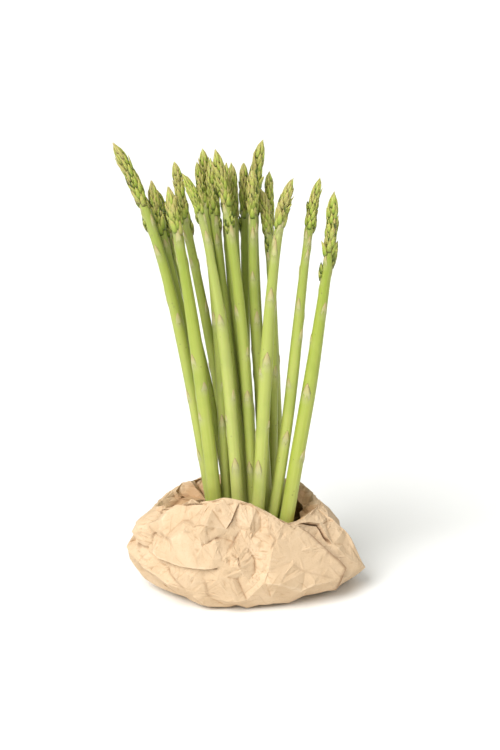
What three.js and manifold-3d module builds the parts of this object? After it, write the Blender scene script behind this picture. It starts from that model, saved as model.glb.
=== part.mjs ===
// A bundle of fresh asparagus standing in a low, crumpled kraft paper bag.
//
// Millimetres, +Z up, +X to the right of the front view, +Y to the back. The origin is the middle of the
// flat underside of the bag. Every spear is one closed solid: a tapered stem with its triangular bracts, side
// buds and scaly head fused to it. The bag is one closed shell with an open mouth.

import * as THREE from "three";
import { ConvexGeometry } from "three/addons/geometries/ConvexGeometry.js";
import { mergeVertices } from "three/addons/utils/BufferGeometryUtils.js";
import Module from "manifold-3d";

const wasm = await Module();
wasm.setup();

// ---------------------------------------------------------------------------------------------------------
// Driving dimensions

const PAPER_WALL = 1.4; // crumpled paper, with its air, counts as one thick wall
const FOOT_Z = 3; // the cut ends stand just above the paper floor

// The heights at which a spear's stem is placed, between its foot and its tip.
const LOW_Z = 100;
const HIGH_Z = 190;

// Each spear: where its middle stands (x, y) at the foot, at LOW_Z and at HIGH_Z, its tip (x, y, z), how far
// the head nods sideways, the stem's diameter low down and just under the head, and the head's length.
function line(foot, low, high, tip, nod, stem, neck, head) {
  return { foot, low, high, tip, nod, stem, neck, head };
}

const SPEARS = {
  spear_a: line([-12, -8], [-28, -4], [-45, 0], [-77, 4, 276], -5, 7.2, 5.6, 34),
  spear_b: line([-14, 8], [-26, 8], [-43, 9], [-56, 10, 253], 2, 6.6, 5.8, 27),
  spear_c: line([-11, 4], [-18, 10], [-38, 13], [-53, 15, 247], -1, 5.2, 4.2, 26),
  spear_d: line([-6, 1], [-13, 2], [-28, 5], [-42, 7, 265], 1, 6.2, 5, 33),
  spear_e: line([-13, -14], [-23, -14], [-34, -12], [-45, -6, 252], 0, 8.2, 5.8, 23),
  spear_f: line([-2, -17], [-8, -15], [-17, -14], [-37, -10, 261], -6, 7, 4.4, 20),
  spear_g: line([-9, -9], [-14, -6], [-19, 2], [-29, 12, 264], 0, 6.2, 4.8, 24),
  spear_h: line([1, 12], [-5, 13], [-16, 15], [-26, 18, 271], -1, 6.2, 5, 30),
  spear_i: line([2, 2], [-5, 3], [-14.5, 5], [-21, 8, 266], 0, 6.2, 5.2, 30),
  spear_j: line([6, -8], [2, -8], [-5, -6], [-18, -4, 273], -1, 6.8, 5.6, 28),
  spear_k: line([7, 4], [1, 6], [-9, 9], [-12, 12, 263], 0, 6.4, 5, 28),
  spear_l: line([-2, 16], [-3, 17], [-6, 19], [-9, 20, 262], 0, 6.4, 5, 28),
  spear_m: line([1, 22], [-1, 22], [-1, 22], [-2, 22, 262], 0, 6, 4.8, 29),
  spear_n: line([12, 13], [9, 14], [5, 15], [9, 16, 276], 7, 6.8, 5.8, 36),
  spear_o: line([12, -2], [10, -1], [4, 1], [3, 2, 261], -3, 6.4, 5.2, 24),
  spear_p: line([24, 15], [19, 16], [15, 18], [13, 20, 257], 0, 5.8, 4.4, 30),
  spear_q: line([16, 4], [16, 8], [15, 10], [8, 9, 249], -2, 5.8, 4.8, 24),
  spear_r: line([2, -18], [9, -16], [14, -14], [26, -12, 258], 4, 7.8, 5.2, 25),
  spear_s: line([7, -13], [23, -10], [32, -7], [42, -4, 257], 3, 7, 4.6, 25),
  spear_t: line([14, -12], [32, -12], [45, -9], [50, -6, 249], -2, 8.6, 5.6, 33),
};

const SPEAR_GAP = 1.3; // clear space kept between neighbours
const RIM_Z = 60; // above this height the spears nearly keep their sideways places and move in depth
const SIDEWAYS = { below: 0.7, above: 0.02 }; // share of a push that goes sideways, below and above RIM_Z
const LEAST_IN_DEPTH = 0.5; // least share of a push that goes in depth
const SETTLE_STEP = 14; // height between the levels at which neighbours are compared
const SETTLE_PASSES = 400;

const STEM_SIDES = 8;
const STEM_STEP = 34; // height between stem rings
const TAPER_LENGTH = 95; // the stretch under the head in which the stem thins to its neck
const HEAD_SWELL = 1.36; // widest part of the head against the stem's neck
const HEAD_SHOULDER = 0.36; // where the head is widest first, as a share of its length
const HEAD_ARCH = { from: 0.4, fullness: 2.2, sharpness: 0.6 }; // the pointed arch that ends the head
const HEAD_CORE = 0.78; // the core that the scales stand out of, against the head's full radius
const HEAD_RINGS = [0.3, 0.62, 0.84, 0.95]; // the core's rings, as shares of the head's length
const HEAD_SCALES = 24;
const SIDE_BUDS = 2;
const BUD_STEP = 8; // height between the side buds under the head
const STEM_BRACTS = 4;
const BRACT_STEP = 32; // height between the bracts further down, the first 38 to 46 under the head
const GOLDEN_ANGLE = (137.5 * Math.PI) / 180;

// A scale's form: its length, half its root's width as an angle, the depth of the root against the radius
// there, and how far its belly and its free tip stand out. The lengths of head scales and buds are in stem
// necks, and those of bracts in millimetres.
const HEAD_SCALE = { long: 1.5, spread: 1.15, depth: 0.62, belly: 0.06, flare: 0.07 };
const BUD = { long: 1.3, spread: 0.5, depth: 0.6, belly: 0.16, flare: 0.12 };
const BRACT = { long: 10, spread: 0.75, depth: 0.84, belly: 0.8, flare: 0.8 };

// The bag, in eight directions from +X: the reach of its flat underside, and [distance from the middle,
// height] of the belly, the shoulder, the lip of the mouth and the inner edge of the paper that is turned in.
const BAG_DIRECTIONS = [
  { foot: 41, belly: [75, 13], shoulder: [61, 38], lip: [47, 55], mouth: [39, 49] }, // right
  { foot: 36, belly: [61, 17], shoulder: [53, 42], lip: [43, 59], mouth: [36, 53] }, // back right
  { foot: 30, belly: [49, 18], shoulder: [43, 43], lip: [34, 61], mouth: [30, 56] }, // back
  { foot: 40, belly: [60, 20], shoulder: [53, 45], lip: [42, 61], mouth: [32, 54] }, // back left
  { foot: 50, belly: [74, 21], shoulder: [68, 42], lip: [58, 54], mouth: [38, 49] }, // left
  { foot: 36, belly: [58, 17], shoulder: [52, 46], lip: [42, 68], mouth: [35, 61] }, // front left
  { foot: 28, belly: [44, 15], shoulder: [39, 43], lip: [32, 67], mouth: [28, 62] }, // front
  { foot: 26, belly: [52, 18], shoulder: [46, 36], lip: [37, 53], mouth: [31, 48] }, // front right
];
const BAG_STEPS = 44; // columns around the bag
const CRUMPLE = 1.9; // how far the creases push a point in or out
const CUFF = { from: 186, to: 262, low: 0.52, thick: 1.7 }; // the turned-down top edge, at the front left
const MOUTH_FOLD = 5; // height of the turned-in paper under the mouth's inner edge

const KRAFT = { color: 0xdcbc93, roughness: 0.86, metalness: 0 };
const GREEN = { color: 0x9ab04d, roughness: 0.5, metalness: 0 };

// ---------------------------------------------------------------------------------------------------------
// Small helpers

// A repeatable draw from 0 to 1, started from a whole number.
function seededDraw(seed) {
  let state = seed >>> 0;
  return () => {
    state = (state + 0x6d2b79f5) >>> 0;
    let t = Math.imul(state ^ (state >>> 15), state | 1);
    t = (t + Math.imul(t ^ (t >>> 7), t | 61)) ^ t;
    return ((t ^ (t >>> 14)) >>> 0) / 4294967296;
  };
}

const mix = THREE.MathUtils.lerp;

// 0 before low, 1 past high, and a smooth rise between them.
const ramp = (value, low, high) => THREE.MathUtils.smoothstep(value, low, high);

function solidOf(geometry) {
  const bare = geometry.clone();
  bare.deleteAttribute("normal");
  bare.deleteAttribute("uv");
  const merged = mergeVertices(bare, 1e-4);
  return new wasm.Manifold(
    new wasm.Mesh({
      numProp: 3,
      vertProperties: new Float32Array(merged.attributes.position.array),
      triVerts: new Uint32Array(merged.index.array),
    }),
  );
}

// The biggest body of a solid, without any scrap that a join leaves loose.
function largestBody(solid) {
  return solid.decompose().reduce((best, body) => (body.volume() > best.volume() ? body : best));
}

function geometryOf(solid) {
  const mesh = solid.getMesh();
  const geometry = new THREE.BufferGeometry();
  geometry.setAttribute("position", new THREE.BufferAttribute(mesh.vertProperties, 3));
  geometry.setIndex(new THREE.BufferAttribute(mesh.triVerts, 1));
  const flat = geometry.toNonIndexed();
  flat.computeVertexNormals();
  return flat;
}

// A closed skin over a stack of rings with the same number of points each, from the lowest ring to the
// highest; every ring runs anticlockwise seen from above. Each end is closed by a fan round a middle point.
function skinOver(rings, lowMiddle, highMiddle) {
  const sides = rings[0].length;
  const points = [...rings.flat(), lowMiddle, highMiddle];
  const low = points.length - 2;
  const high = points.length - 1;
  const faces = [];
  for (let side = 0; side < sides; side++) {
    const next = (side + 1) % sides;
    for (let row = 0; row < rings.length - 1; row++) {
      const here = row * sides;
      const above = here + sides;
      faces.push(here + side, here + next, above + next);
      faces.push(here + side, above + next, above + side);
    }
    const last = (rings.length - 1) * sides;
    faces.push(low, next, side);
    faces.push(high, last + side, last + next);
  }
  const geometry = new THREE.BufferGeometry().setFromPoints(points);
  geometry.setIndex(faces);
  return geometry;
}

// ---------------------------------------------------------------------------------------------------------
// Where the spears stand

// The stem's half width at a height: thinner towards the head, then the head's swell and its point.
function fullRadius(spear, z) {
  const headBase = spear.tip[2] - spear.head;
  if (z <= headBase) {
    return mix(spear.stem, spear.neck, ramp(z, headBase - TAPER_LENGTH, headBase)) / 2;
  }
  const along = Math.min((z - headBase) / spear.head, 1);
  const swell = mix(1, HEAD_SWELL, Math.sin(Math.min(along / HEAD_SHOULDER, 1) * (Math.PI / 2)));
  const overArch = Math.max(along - HEAD_ARCH.from, 0) / (1 - HEAD_ARCH.from);
  const point = Math.pow(1 - Math.pow(overArch, HEAD_ARCH.fullness), HEAD_ARCH.sharpness);
  return (spear.neck / 2) * swell * point;
}

// The unsettled middle line: the cubic in height through foot, low, high and tip, with the head's nod added.
function plannedPlace(spear, z) {
  const knots = [FOOT_Z, LOW_Z, HIGH_Z, spear.tip[2]];
  const stations = [spear.foot, spear.low, spear.high, [spear.tip[0] - spear.nod, spear.tip[1]]];
  const place = { x: 0, y: 0 };
  knots.forEach((knot, k) => {
    const others = knots.filter((_, other) => other !== k);
    const weight = others.reduce((share, other) => (share * (z - other)) / (knot - other), 1);
    place.x += weight * stations[k][0];
    place.y += weight * stations[k][1];
  });
  const nodStart = spear.tip[2] - 1.5 * spear.head;
  place.x += spear.nod * Math.pow(Math.max(z - nodStart, 0) / (spear.tip[2] - nodStart), 1.8);
  return place;
}

// Neighbours that would touch push each other apart, level by level, mostly in depth, and each line is
// smoothed after every pass, so that the stems lean round each other as real ones do.
function settle(spears) {
  const stands = Object.values(spears).map((spear) => {
    const levels = Math.ceil((spear.tip[2] - FOOT_Z) / SETTLE_STEP) + 1;
    const heights = Array.from({ length: levels }, (_, k) => FOOT_Z + k * SETTLE_STEP);
    return {
      spear,
      heights,
      places: heights.map((z) => plannedPlace(spear, z)),
      radii: heights.map((z) => fullRadius(spear, Math.min(z, spear.tip[2] - 5))),
    };
  });
  for (let pass = 0; pass < SETTLE_PASSES; pass++) {
    const moves = stands.map((stand) => stand.places.map(() => ({ x: 0, y: 0 })));
    stands.forEach((a, i) => {
      for (let j = i + 1; j < stands.length; j++) {
        const b = stands[j];
        for (let k = 0; k < Math.min(a.places.length, b.places.length); k++) {
          const dx = a.places[k].x - b.places[k].x;
          const dy = a.places[k].y - b.places[k].y || 0.01;
          const apart = Math.hypot(dx, dy);
          const short = a.radii[k] + b.radii[k] + SPEAR_GAP - apart;
          if (short <= 0) continue;
          const sideways = a.heights[k] > RIM_Z ? SIDEWAYS.above : SIDEWAYS.below;
          const alongX = (0.5 * short * sideways * dx) / apart;
          const alongY = 0.5 * short * Math.sign(dy) * Math.max(Math.abs(dy) / apart, LEAST_IN_DEPTH);
          moves[i][k].x += alongX;
          moves[j][k].x -= alongX;
          moves[i][k].y += alongY;
          moves[j][k].y -= alongY;
        }
      }
    });
    stands.forEach((stand, i) => {
      stand.places.forEach((place, k) => {
        for (const axis of ["x", "y"]) {
          const here = moves[i][k][axis];
          const below = moves[i][Math.max(k - 1, 0)][axis];
          const above = moves[i][Math.min(k + 1, stand.places.length - 1)][axis];
          place[axis] += 0.5 * here + 0.25 * (below + above);
        }
      });
    });
  }
  return stands;
}

// ---------------------------------------------------------------------------------------------------------
// One spear

class SpearShape {
  constructor({ spear, heights, places }) {
    this.spear = spear;
    const points = heights.map((z, k) => new THREE.Vector3(places[k].x, places[k].y, z));
    this.line = new THREE.CatmullRomCurve3(points, false, "centripetal");
    this.heights = heights;
  }

  // The middle point, the direction of growth and two sideways directions at a height.
  frameAt(z) {
    const last = this.heights.length - 1;
    const share = THREE.MathUtils.clamp((z - FOOT_Z) / (SETTLE_STEP * last), 0, 1);
    const middle = this.line.getPoint(share);
    const growth = this.line.getTangent(share).normalize();
    const side = new THREE.Vector3(0, 1, 0).cross(growth).normalize();
    const front = growth.clone().cross(side).normalize();
    return { middle, growth, side, front };
  }

  pointAt(z, angle, radius, along = 0) {
    const { middle, growth, side, front } = this.frameAt(z);
    return middle
      .clone()
      .addScaledVector(side, radius * Math.cos(angle))
      .addScaledVector(front, radius * Math.sin(angle))
      .addScaledVector(growth, along);
  }

  // The stem and the slim core of the head, from the flat cut foot to the blunt tip.
  core(turn) {
    const { tip, head } = this.spear;
    const headBase = tip[2] - head;
    const stemRings = Math.round((headBase - FOOT_Z) / STEM_STEP);
    const heights = [];
    for (let ring = 0; ring <= stemRings; ring++) {
      heights.push(mix(FOOT_Z, headBase, ring / stemRings));
    }
    for (const share of HEAD_RINGS) {
      heights.push(mix(headBase, tip[2], share));
    }
    const rings = heights.map((z) => {
      const slim = mix(1, HEAD_CORE, ramp(z, headBase - 8, headBase + 6));
      const radius = fullRadius(this.spear, z) * slim;
      return Array.from({ length: STEM_SIDES }, (_, k) =>
        this.pointAt(z, turn + (k * 2 * Math.PI) / STEM_SIDES, radius),
      );
    });
    return skinOver(rings, this.frameAt(FOOT_Z).middle, this.frameAt(tip[2]).middle);
  }

  // A pointed scale: two root corners sunk in the core, a raised belly and a free tip.
  scale({ z, angle, long, spread, depth, belly, flare }) {
    const root = fullRadius(this.spear, z);
    const tipRadius = Math.min(fullRadius(this.spear, z + long), root) + flare;
    return new ConvexGeometry([
      this.pointAt(z, angle - spread, root * depth),
      this.pointAt(z, angle + spread, root * depth),
      this.pointAt(z + long * 0.5, angle, root + belly),
      this.pointAt(z + long, angle, tipRadius),
    ]);
  }

  headScales(draw, turn) {
    const { tip, head, neck } = this.spear;
    return Array.from({ length: HEAD_SCALES }, (_, k) => {
      const share = k / (HEAD_SCALES - 1);
      const size = mix(1, 0.55, share) * mix(0.92, 1.08, draw());
      return {
        z: tip[2] - head - 3 + (head - 5) * Math.pow(share, 0.94),
        angle: turn + k * GOLDEN_ANGLE + 0.2 * (draw() - 0.5),
        long: neck * HEAD_SCALE.long * size,
        spread: HEAD_SCALE.spread,
        depth: HEAD_SCALE.depth,
        belly: neck * HEAD_SCALE.belly,
        flare: neck * HEAD_SCALE.flare,
      };
    });
  }

  sideBuds(draw, turn) {
    const { tip, head, neck } = this.spear;
    return Array.from({ length: SIDE_BUDS }, (_, k) => ({
      z: tip[2] - head - BUD_STEP * (k + 1),
      angle: turn + 1 + k * GOLDEN_ANGLE + 0.4 * (draw() - 0.5),
      long: neck * BUD.long,
      spread: BUD.spread,
      depth: BUD.depth,
      belly: neck * BUD.belly,
      flare: neck * BUD.flare,
    }));
  }

  stemBracts(draw, turn) {
    const { tip, head } = this.spear;
    return Array.from({ length: STEM_BRACTS }, (_, k) => ({
      ...BRACT,
      z: tip[2] - head - 38 - BRACT_STEP * k - 8 * draw(),
      angle: turn + k * GOLDEN_ANGLE + draw(),
      long: BRACT.long * mix(0.9, 1.1, draw()),
    }));
  }

  solid(seed) {
    const draw = seededDraw(seed);
    const turn = draw() * Math.PI;
    const scales = [
      ...this.headScales(draw, turn),
      ...this.sideBuds(draw, turn),
      ...this.stemBracts(draw, turn),
    ];
    const stem = solidOf(this.core(turn));
    return largestBody(scales.reduce((whole, scale) => whole.add(solidOf(this.scale(scale))), stem));
  }
}

// ---------------------------------------------------------------------------------------------------------
// The paper bag

// A closed curve through one point for each compass direction.
function bagLevel(pick) {
  const points = BAG_DIRECTIONS.map((direction, k) => {
    const angle = (k * 2 * Math.PI) / BAG_DIRECTIONS.length;
    const [radius, height] = pick(direction);
    return new THREE.Vector3(radius * Math.cos(angle), radius * Math.sin(angle), height);
  });
  return new THREE.CatmullRomCurve3(points, true, "catmullrom", 0.5);
}

const MOUTH = bagLevel(({ mouth }) => mouth);
const BAG_LEVELS = [
  bagLevel(({ foot }) => [foot, 0]),
  bagLevel(({ foot, belly }) => [mix(foot, belly[0], 0.55), belly[1] * 0.2]),
  bagLevel(({ belly }) => belly),
  bagLevel(({ shoulder }) => shoulder),
  bagLevel(({ lip }) => lip),
];

// A point of the bag's smooth outside: share goes round the bag, rise from the foot (0) to the lip (1).
function bagPoint(share, rise) {
  const column = BAG_LEVELS.map((level) => level.getPoint(share));
  return new THREE.CatmullRomCurve3(column, false, "centripetal").getPoint(rise);
}

function bagOutward(share, rise) {
  const step = 0.01;
  const low = Math.max(rise - step, 0.02);
  const high = Math.min(rise + step, 1);
  const up = bagPoint(share, high).sub(bagPoint(share, low));
  const round = bagPoint((share + step) % 1, rise).sub(bagPoint((share - step + 1) % 1, rise));
  return round.cross(up).normalize();
}

// How much of the cuff's extra thickness a point carries.
function cuffCover(share, rise) {
  const degrees = share * 360;
  const across = ramp(degrees, CUFF.from - 4, CUFF.from + 4) * (1 - ramp(degrees, CUFF.to - 6, CUFF.to + 2));
  return rise > CUFF.low ? across : 0;
}

const BAG_RISES = [0, 0.13, 0.28, 0.42, 0.515, 0.525, 0.66, 0.8, 0.92, 1];
const INNER_RISES = [0.8, 0.66, 0.42, 0.28];

function paperBag() {
  const draw = seededDraw(41);
  const columns = Array.from({ length: BAG_STEPS }, (_, column) => column);
  // The creases: one push for every row and column, the same for the outside and the inside of the sheet.
  const push = BAG_RISES.map((rise) =>
    columns.map(() => CRUMPLE * (2 * draw() - 1) * ramp(rise, 0, 0.2)),
  );
  const outside = BAG_RISES.map((rise, row) =>
    columns.map((column) => {
      const skew = rise > 0.2 ? 0.25 * Math.sin(5 * column + 9 * rise) : 0;
      const share = ((column + skew) / BAG_STEPS + 1) % 1;
      const lift = push[row][column] + CUFF.thick * cuffCover(share, rise);
      return bagPoint(share, rise).addScaledVector(bagOutward(share, rise), lift);
    }),
  );
  const turnedIn = [0, MOUTH_FOLD].map((drop) =>
    columns.map((column) => {
      const point = MOUTH.getPoint(column / BAG_STEPS);
      point.z += CRUMPLE * 0.6 * Math.sin(2.3 * column) - drop;
      return point;
    }),
  );
  const inside = INNER_RISES.map((rise) =>
    columns.map((column) => {
      const share = column / BAG_STEPS;
      const lift = 0.5 * push[BAG_RISES.indexOf(rise)][column] - PAPER_WALL - 0.5 * CRUMPLE;
      const point = bagPoint(share, rise).addScaledVector(bagOutward(share, rise), lift);
      point.z = Math.max(point.z, PAPER_WALL);
      return point;
    }),
  );
  const floorRing = columns.map((column) => {
    const point = bagPoint(column / BAG_STEPS, 0).multiplyScalar(0.93);
    point.z = PAPER_WALL;
    return point;
  });
  const underside = new THREE.Vector3(0, 0, 0);
  const floorMiddle = new THREE.Vector3(0, 0, PAPER_WALL);
  return skinOver([...outside, ...turnedIn, ...inside, floorRing], underside, floorMiddle);
}

// ---------------------------------------------------------------------------------------------------------
// The whole bundle

function pieceOf(name, geometry, finish) {
  const mesh = new THREE.Mesh(geometry, new THREE.MeshStandardMaterial(finish));
  mesh.name = name;
  return mesh;
}

const bundle = new THREE.Group();
bundle.add(pieceOf("paper_bag", geometryOf(solidOf(paperBag())), KRAFT));

const names = Object.keys(SPEARS);
settle(SPEARS).forEach((stand, k) => {
  const solid = new SpearShape(stand).solid(101 + k);
  bundle.add(pieceOf(names[k], geometryOf(solid), GREEN));
});

export default bundle;
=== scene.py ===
"""Dresses a bundle of asparagus that stands in a low, crumpled kraft paper bag.

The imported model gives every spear's middle line and the space that the bag may fill. Lengths are in
millimetres, apart from those of finishes and of the floor, which are in metres.
"""

import logging
import math
from dataclasses import dataclass, field
from enum import Enum

import bpy
import numpy as np
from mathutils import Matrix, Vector
from mathutils.geometry import delaunay_2d_cdt


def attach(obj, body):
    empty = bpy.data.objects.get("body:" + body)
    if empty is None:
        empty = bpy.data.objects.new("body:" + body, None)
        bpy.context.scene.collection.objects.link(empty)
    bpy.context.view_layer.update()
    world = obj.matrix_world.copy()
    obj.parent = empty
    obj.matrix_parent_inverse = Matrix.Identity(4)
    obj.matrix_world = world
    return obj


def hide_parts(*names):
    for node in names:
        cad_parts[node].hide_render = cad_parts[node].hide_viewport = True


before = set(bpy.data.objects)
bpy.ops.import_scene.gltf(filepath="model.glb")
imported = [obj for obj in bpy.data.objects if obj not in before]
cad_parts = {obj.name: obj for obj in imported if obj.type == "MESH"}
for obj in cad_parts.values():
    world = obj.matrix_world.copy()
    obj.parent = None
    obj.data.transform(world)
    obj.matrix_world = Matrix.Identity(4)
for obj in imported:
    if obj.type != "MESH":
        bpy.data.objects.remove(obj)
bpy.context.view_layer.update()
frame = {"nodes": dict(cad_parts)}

LOG = logging.getLogger("asparagus")
Array = np.ndarray
Material = bpy.types.Material
Object = bpy.types.Object
Path = tuple[tuple[float, float], ...]
METRES = 0.001
GOLDEN_ANGLE = math.radians(137.5)


# ---- Arrays into meshes ----


@dataclass
class Shape:
    """Points and faces on their way into one mesh.

    Attributes:
        points: places, (n, 3), in millimetres.
        faces: arrays of corner numbers, each (m, 3) or (m, 4).
        tone: four numbers for each point, which the finishes read.
        flow: two numbers for each point, which become the UV map. The first one runs round and repeats at 1.
    """

    points: Array
    faces: list[Array]
    tone: Array
    flow: Array


def joined(shapes: list[Shape]) -> Shape:
    """Puts shapes side by side in one.

    Args:
        shapes: the shapes to join.

    Returns:
        One shape with all their points and faces.
    """
    starts = np.cumsum([0] + [len(shape.points) for shape in shapes[:-1]])
    return Shape(
        points=np.concatenate([shape.points for shape in shapes]),
        faces=[face + start for shape, start in zip(shapes, starts) for face in shape.faces],
        tone=np.concatenate([shape.tone for shape in shapes]),
        flow=np.concatenate([shape.flow for shape in shapes]),
    )


def tube_faces(count: int, rows: int, around: int) -> list[Array]:
    """Faces of many closed tubes alike, each with its rings row by row, then its root point and tip point.

    Args:
        count: number of tubes.
        rows: rings of each tube, root first.
        around: points of each ring, anticlockwise seen from the tip.

    Returns:
        The side faces, the root fans and the tip fans.
    """
    here = np.arange(around)
    after = (here + 1) % around
    row = np.arange(rows - 1)[:, None] * around
    sides = np.stack([row + here, row + after, row + around + after, row + around + here], axis=-1)
    last = (rows - 1) * around
    root = np.stack([after, here, np.full(around, rows * around)], axis=-1)
    tip = np.stack([last + here, last + after, np.full(around, rows * around + 1)], axis=-1)
    start = (np.arange(count) * (rows * around + 2))[:, None, None]
    return [
        (start + sides.reshape(1, -1, 4)).reshape(-1, 4),
        (start + root[None]).reshape(-1, 3),
        (start + tip[None]).reshape(-1, 3),
    ]


def tubes(rings: Array, roots: Array, tips: Array, tone: Array, flow: Array) -> Shape:
    """Closed tubes from their rings.

    Args:
        rings: (count, rows, around, 3).
        roots: (count, 3), the middle of each closed root.
        tips: (count, 3), the point of each tip.
        tone: (count, rows, around, 4).
        flow: (count, rows, around, 2).

    Returns:
        All the tubes as one shape.
    """
    count, rows, around, _ = rings.shape
    body = rings.reshape(count, -1, 3)
    tone_ends = np.stack([tone[:, 0].mean(axis=1), tone[:, -1].mean(axis=1)], axis=1)
    flow_ends = np.stack([flow[:, 0].mean(axis=1), flow[:, -1].mean(axis=1)], axis=1)
    return Shape(
        points=np.concatenate([body, roots[:, None], tips[:, None]], axis=1).reshape(-1, 3),
        faces=tube_faces(count, rows, around),
        tone=np.concatenate([tone.reshape(count, -1, 4), tone_ends], axis=1).reshape(-1, 4),
        flow=np.concatenate([flow.reshape(count, -1, 2), flow_ends], axis=1).reshape(-1, 2),
    )


def make_object(name: str, shape: Shape, material: Material) -> Object:
    """A mesh object at the origin, in metres, with its tone attribute and UV map.

    Args:
        name: the piece's name.
        shape: its points and faces in millimetres.
        material: its finish.

    Returns:
        The new object, linked to the scene.
    """
    mesh = bpy.data.meshes.new(name)
    sizes = np.concatenate([np.full(len(face), face.shape[1]) for face in shape.faces])
    corners = np.concatenate([face.reshape(-1) for face in shape.faces]).astype(np.int32)
    starts = np.concatenate([[0], np.cumsum(sizes)[:-1]]).astype(np.int32)
    mesh.vertices.add(len(shape.points))
    mesh.vertices.foreach_set("co", (shape.points * METRES).astype(np.float32).ravel())
    mesh.loops.add(len(corners))
    mesh.loops.foreach_set("vertex_index", corners)
    mesh.polygons.add(len(sizes))
    mesh.polygons.foreach_set("loop_start", starts)
    mesh.polygons.foreach_set("use_smooth", np.ones(len(sizes), dtype=bool))
    mesh.update(calc_edges=True)
    tone = mesh.attributes.new("tone", "FLOAT_COLOR", "POINT")
    tone.data.foreach_set("color", shape.tone.astype(np.float32).ravel())
    layer = mesh.uv_layers.new(name="flow")
    # The map runs round and repeats at 1, so a face's corners are brought to the same turn as its first one.
    flow = shape.flow[corners]
    first = np.repeat(flow[starts, 0], sizes)
    flow[:, 0] -= np.round(flow[:, 0] - first)
    layer.data.foreach_set("uv", flow.astype(np.float32).ravel())
    mesh.validate()
    mesh.materials.append(material)
    piece = bpy.data.objects.new(name, mesh)
    bpy.context.scene.collection.objects.link(piece)
    return piece


def smooth(value: Array, low: float, high: float) -> Array:
    """Rises from 0 at low to 1 at high along 3x^2 - 2x^3."""
    x = np.clip((value - low) / (high - low), 0.0, 1.0)
    return x * x * (3.0 - 2.0 * x)


def blend(low: Array, high: Array, share: Array) -> Array:
    """The straight mix of low (share 0) and high (share 1)."""
    return low + (high - low) * share


def hill(value: Array, middle: float, spread: float) -> Array:
    """A hill of height 1 round middle, exp(-((value - middle) / spread)^2)."""
    return np.exp(-(((value - middle) / spread) ** 2))


def spline(knots: Array, at: Array, closed: bool) -> Array:
    """Catmull-Rom curve through evenly numbered knots.

    Between knots 1 and 2 of four in a row, at share f: half of
    2*p1 + (p2 - p0) f + (2 p0 - 5 p1 + 4 p2 - p3) f^2 + (3 p1 - p0 - 3 p2 + p3) f^3.

    Args:
        knots: (k, ...), any shape after the first axis.
        at: (n,), knot numbers, 0 at the first knot.
        closed: whether the last knot runs on into the first.

    Returns:
        (n, ...), the curve's values.
    """
    count = len(knots)
    low = np.floor(at).astype(int)
    if not closed:
        low = np.clip(low, 0, count - 2)
    f = (at - low).reshape((-1,) + (1,) * (knots.ndim - 1))
    if closed:
        p0, p1, p2, p3 = (knots[(low + step) % count] for step in (-1, 0, 1, 2))
    else:
        ends = np.concatenate([2 * knots[:1] - knots[1:2], knots, 2 * knots[-1:] - knots[-2:-1]])
        p0, p1, p2, p3 = (ends[low + 1 + step] for step in (-1, 0, 1, 2))
    return 0.5 * (
        2 * p1 + (p2 - p0) * f + (2 * p0 - 5 * p1 + 4 * p2 - p3) * f**2 + (3 * p1 - p0 - 3 * p2 + p3) * f**3
    )


# ---- The spears ----


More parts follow.
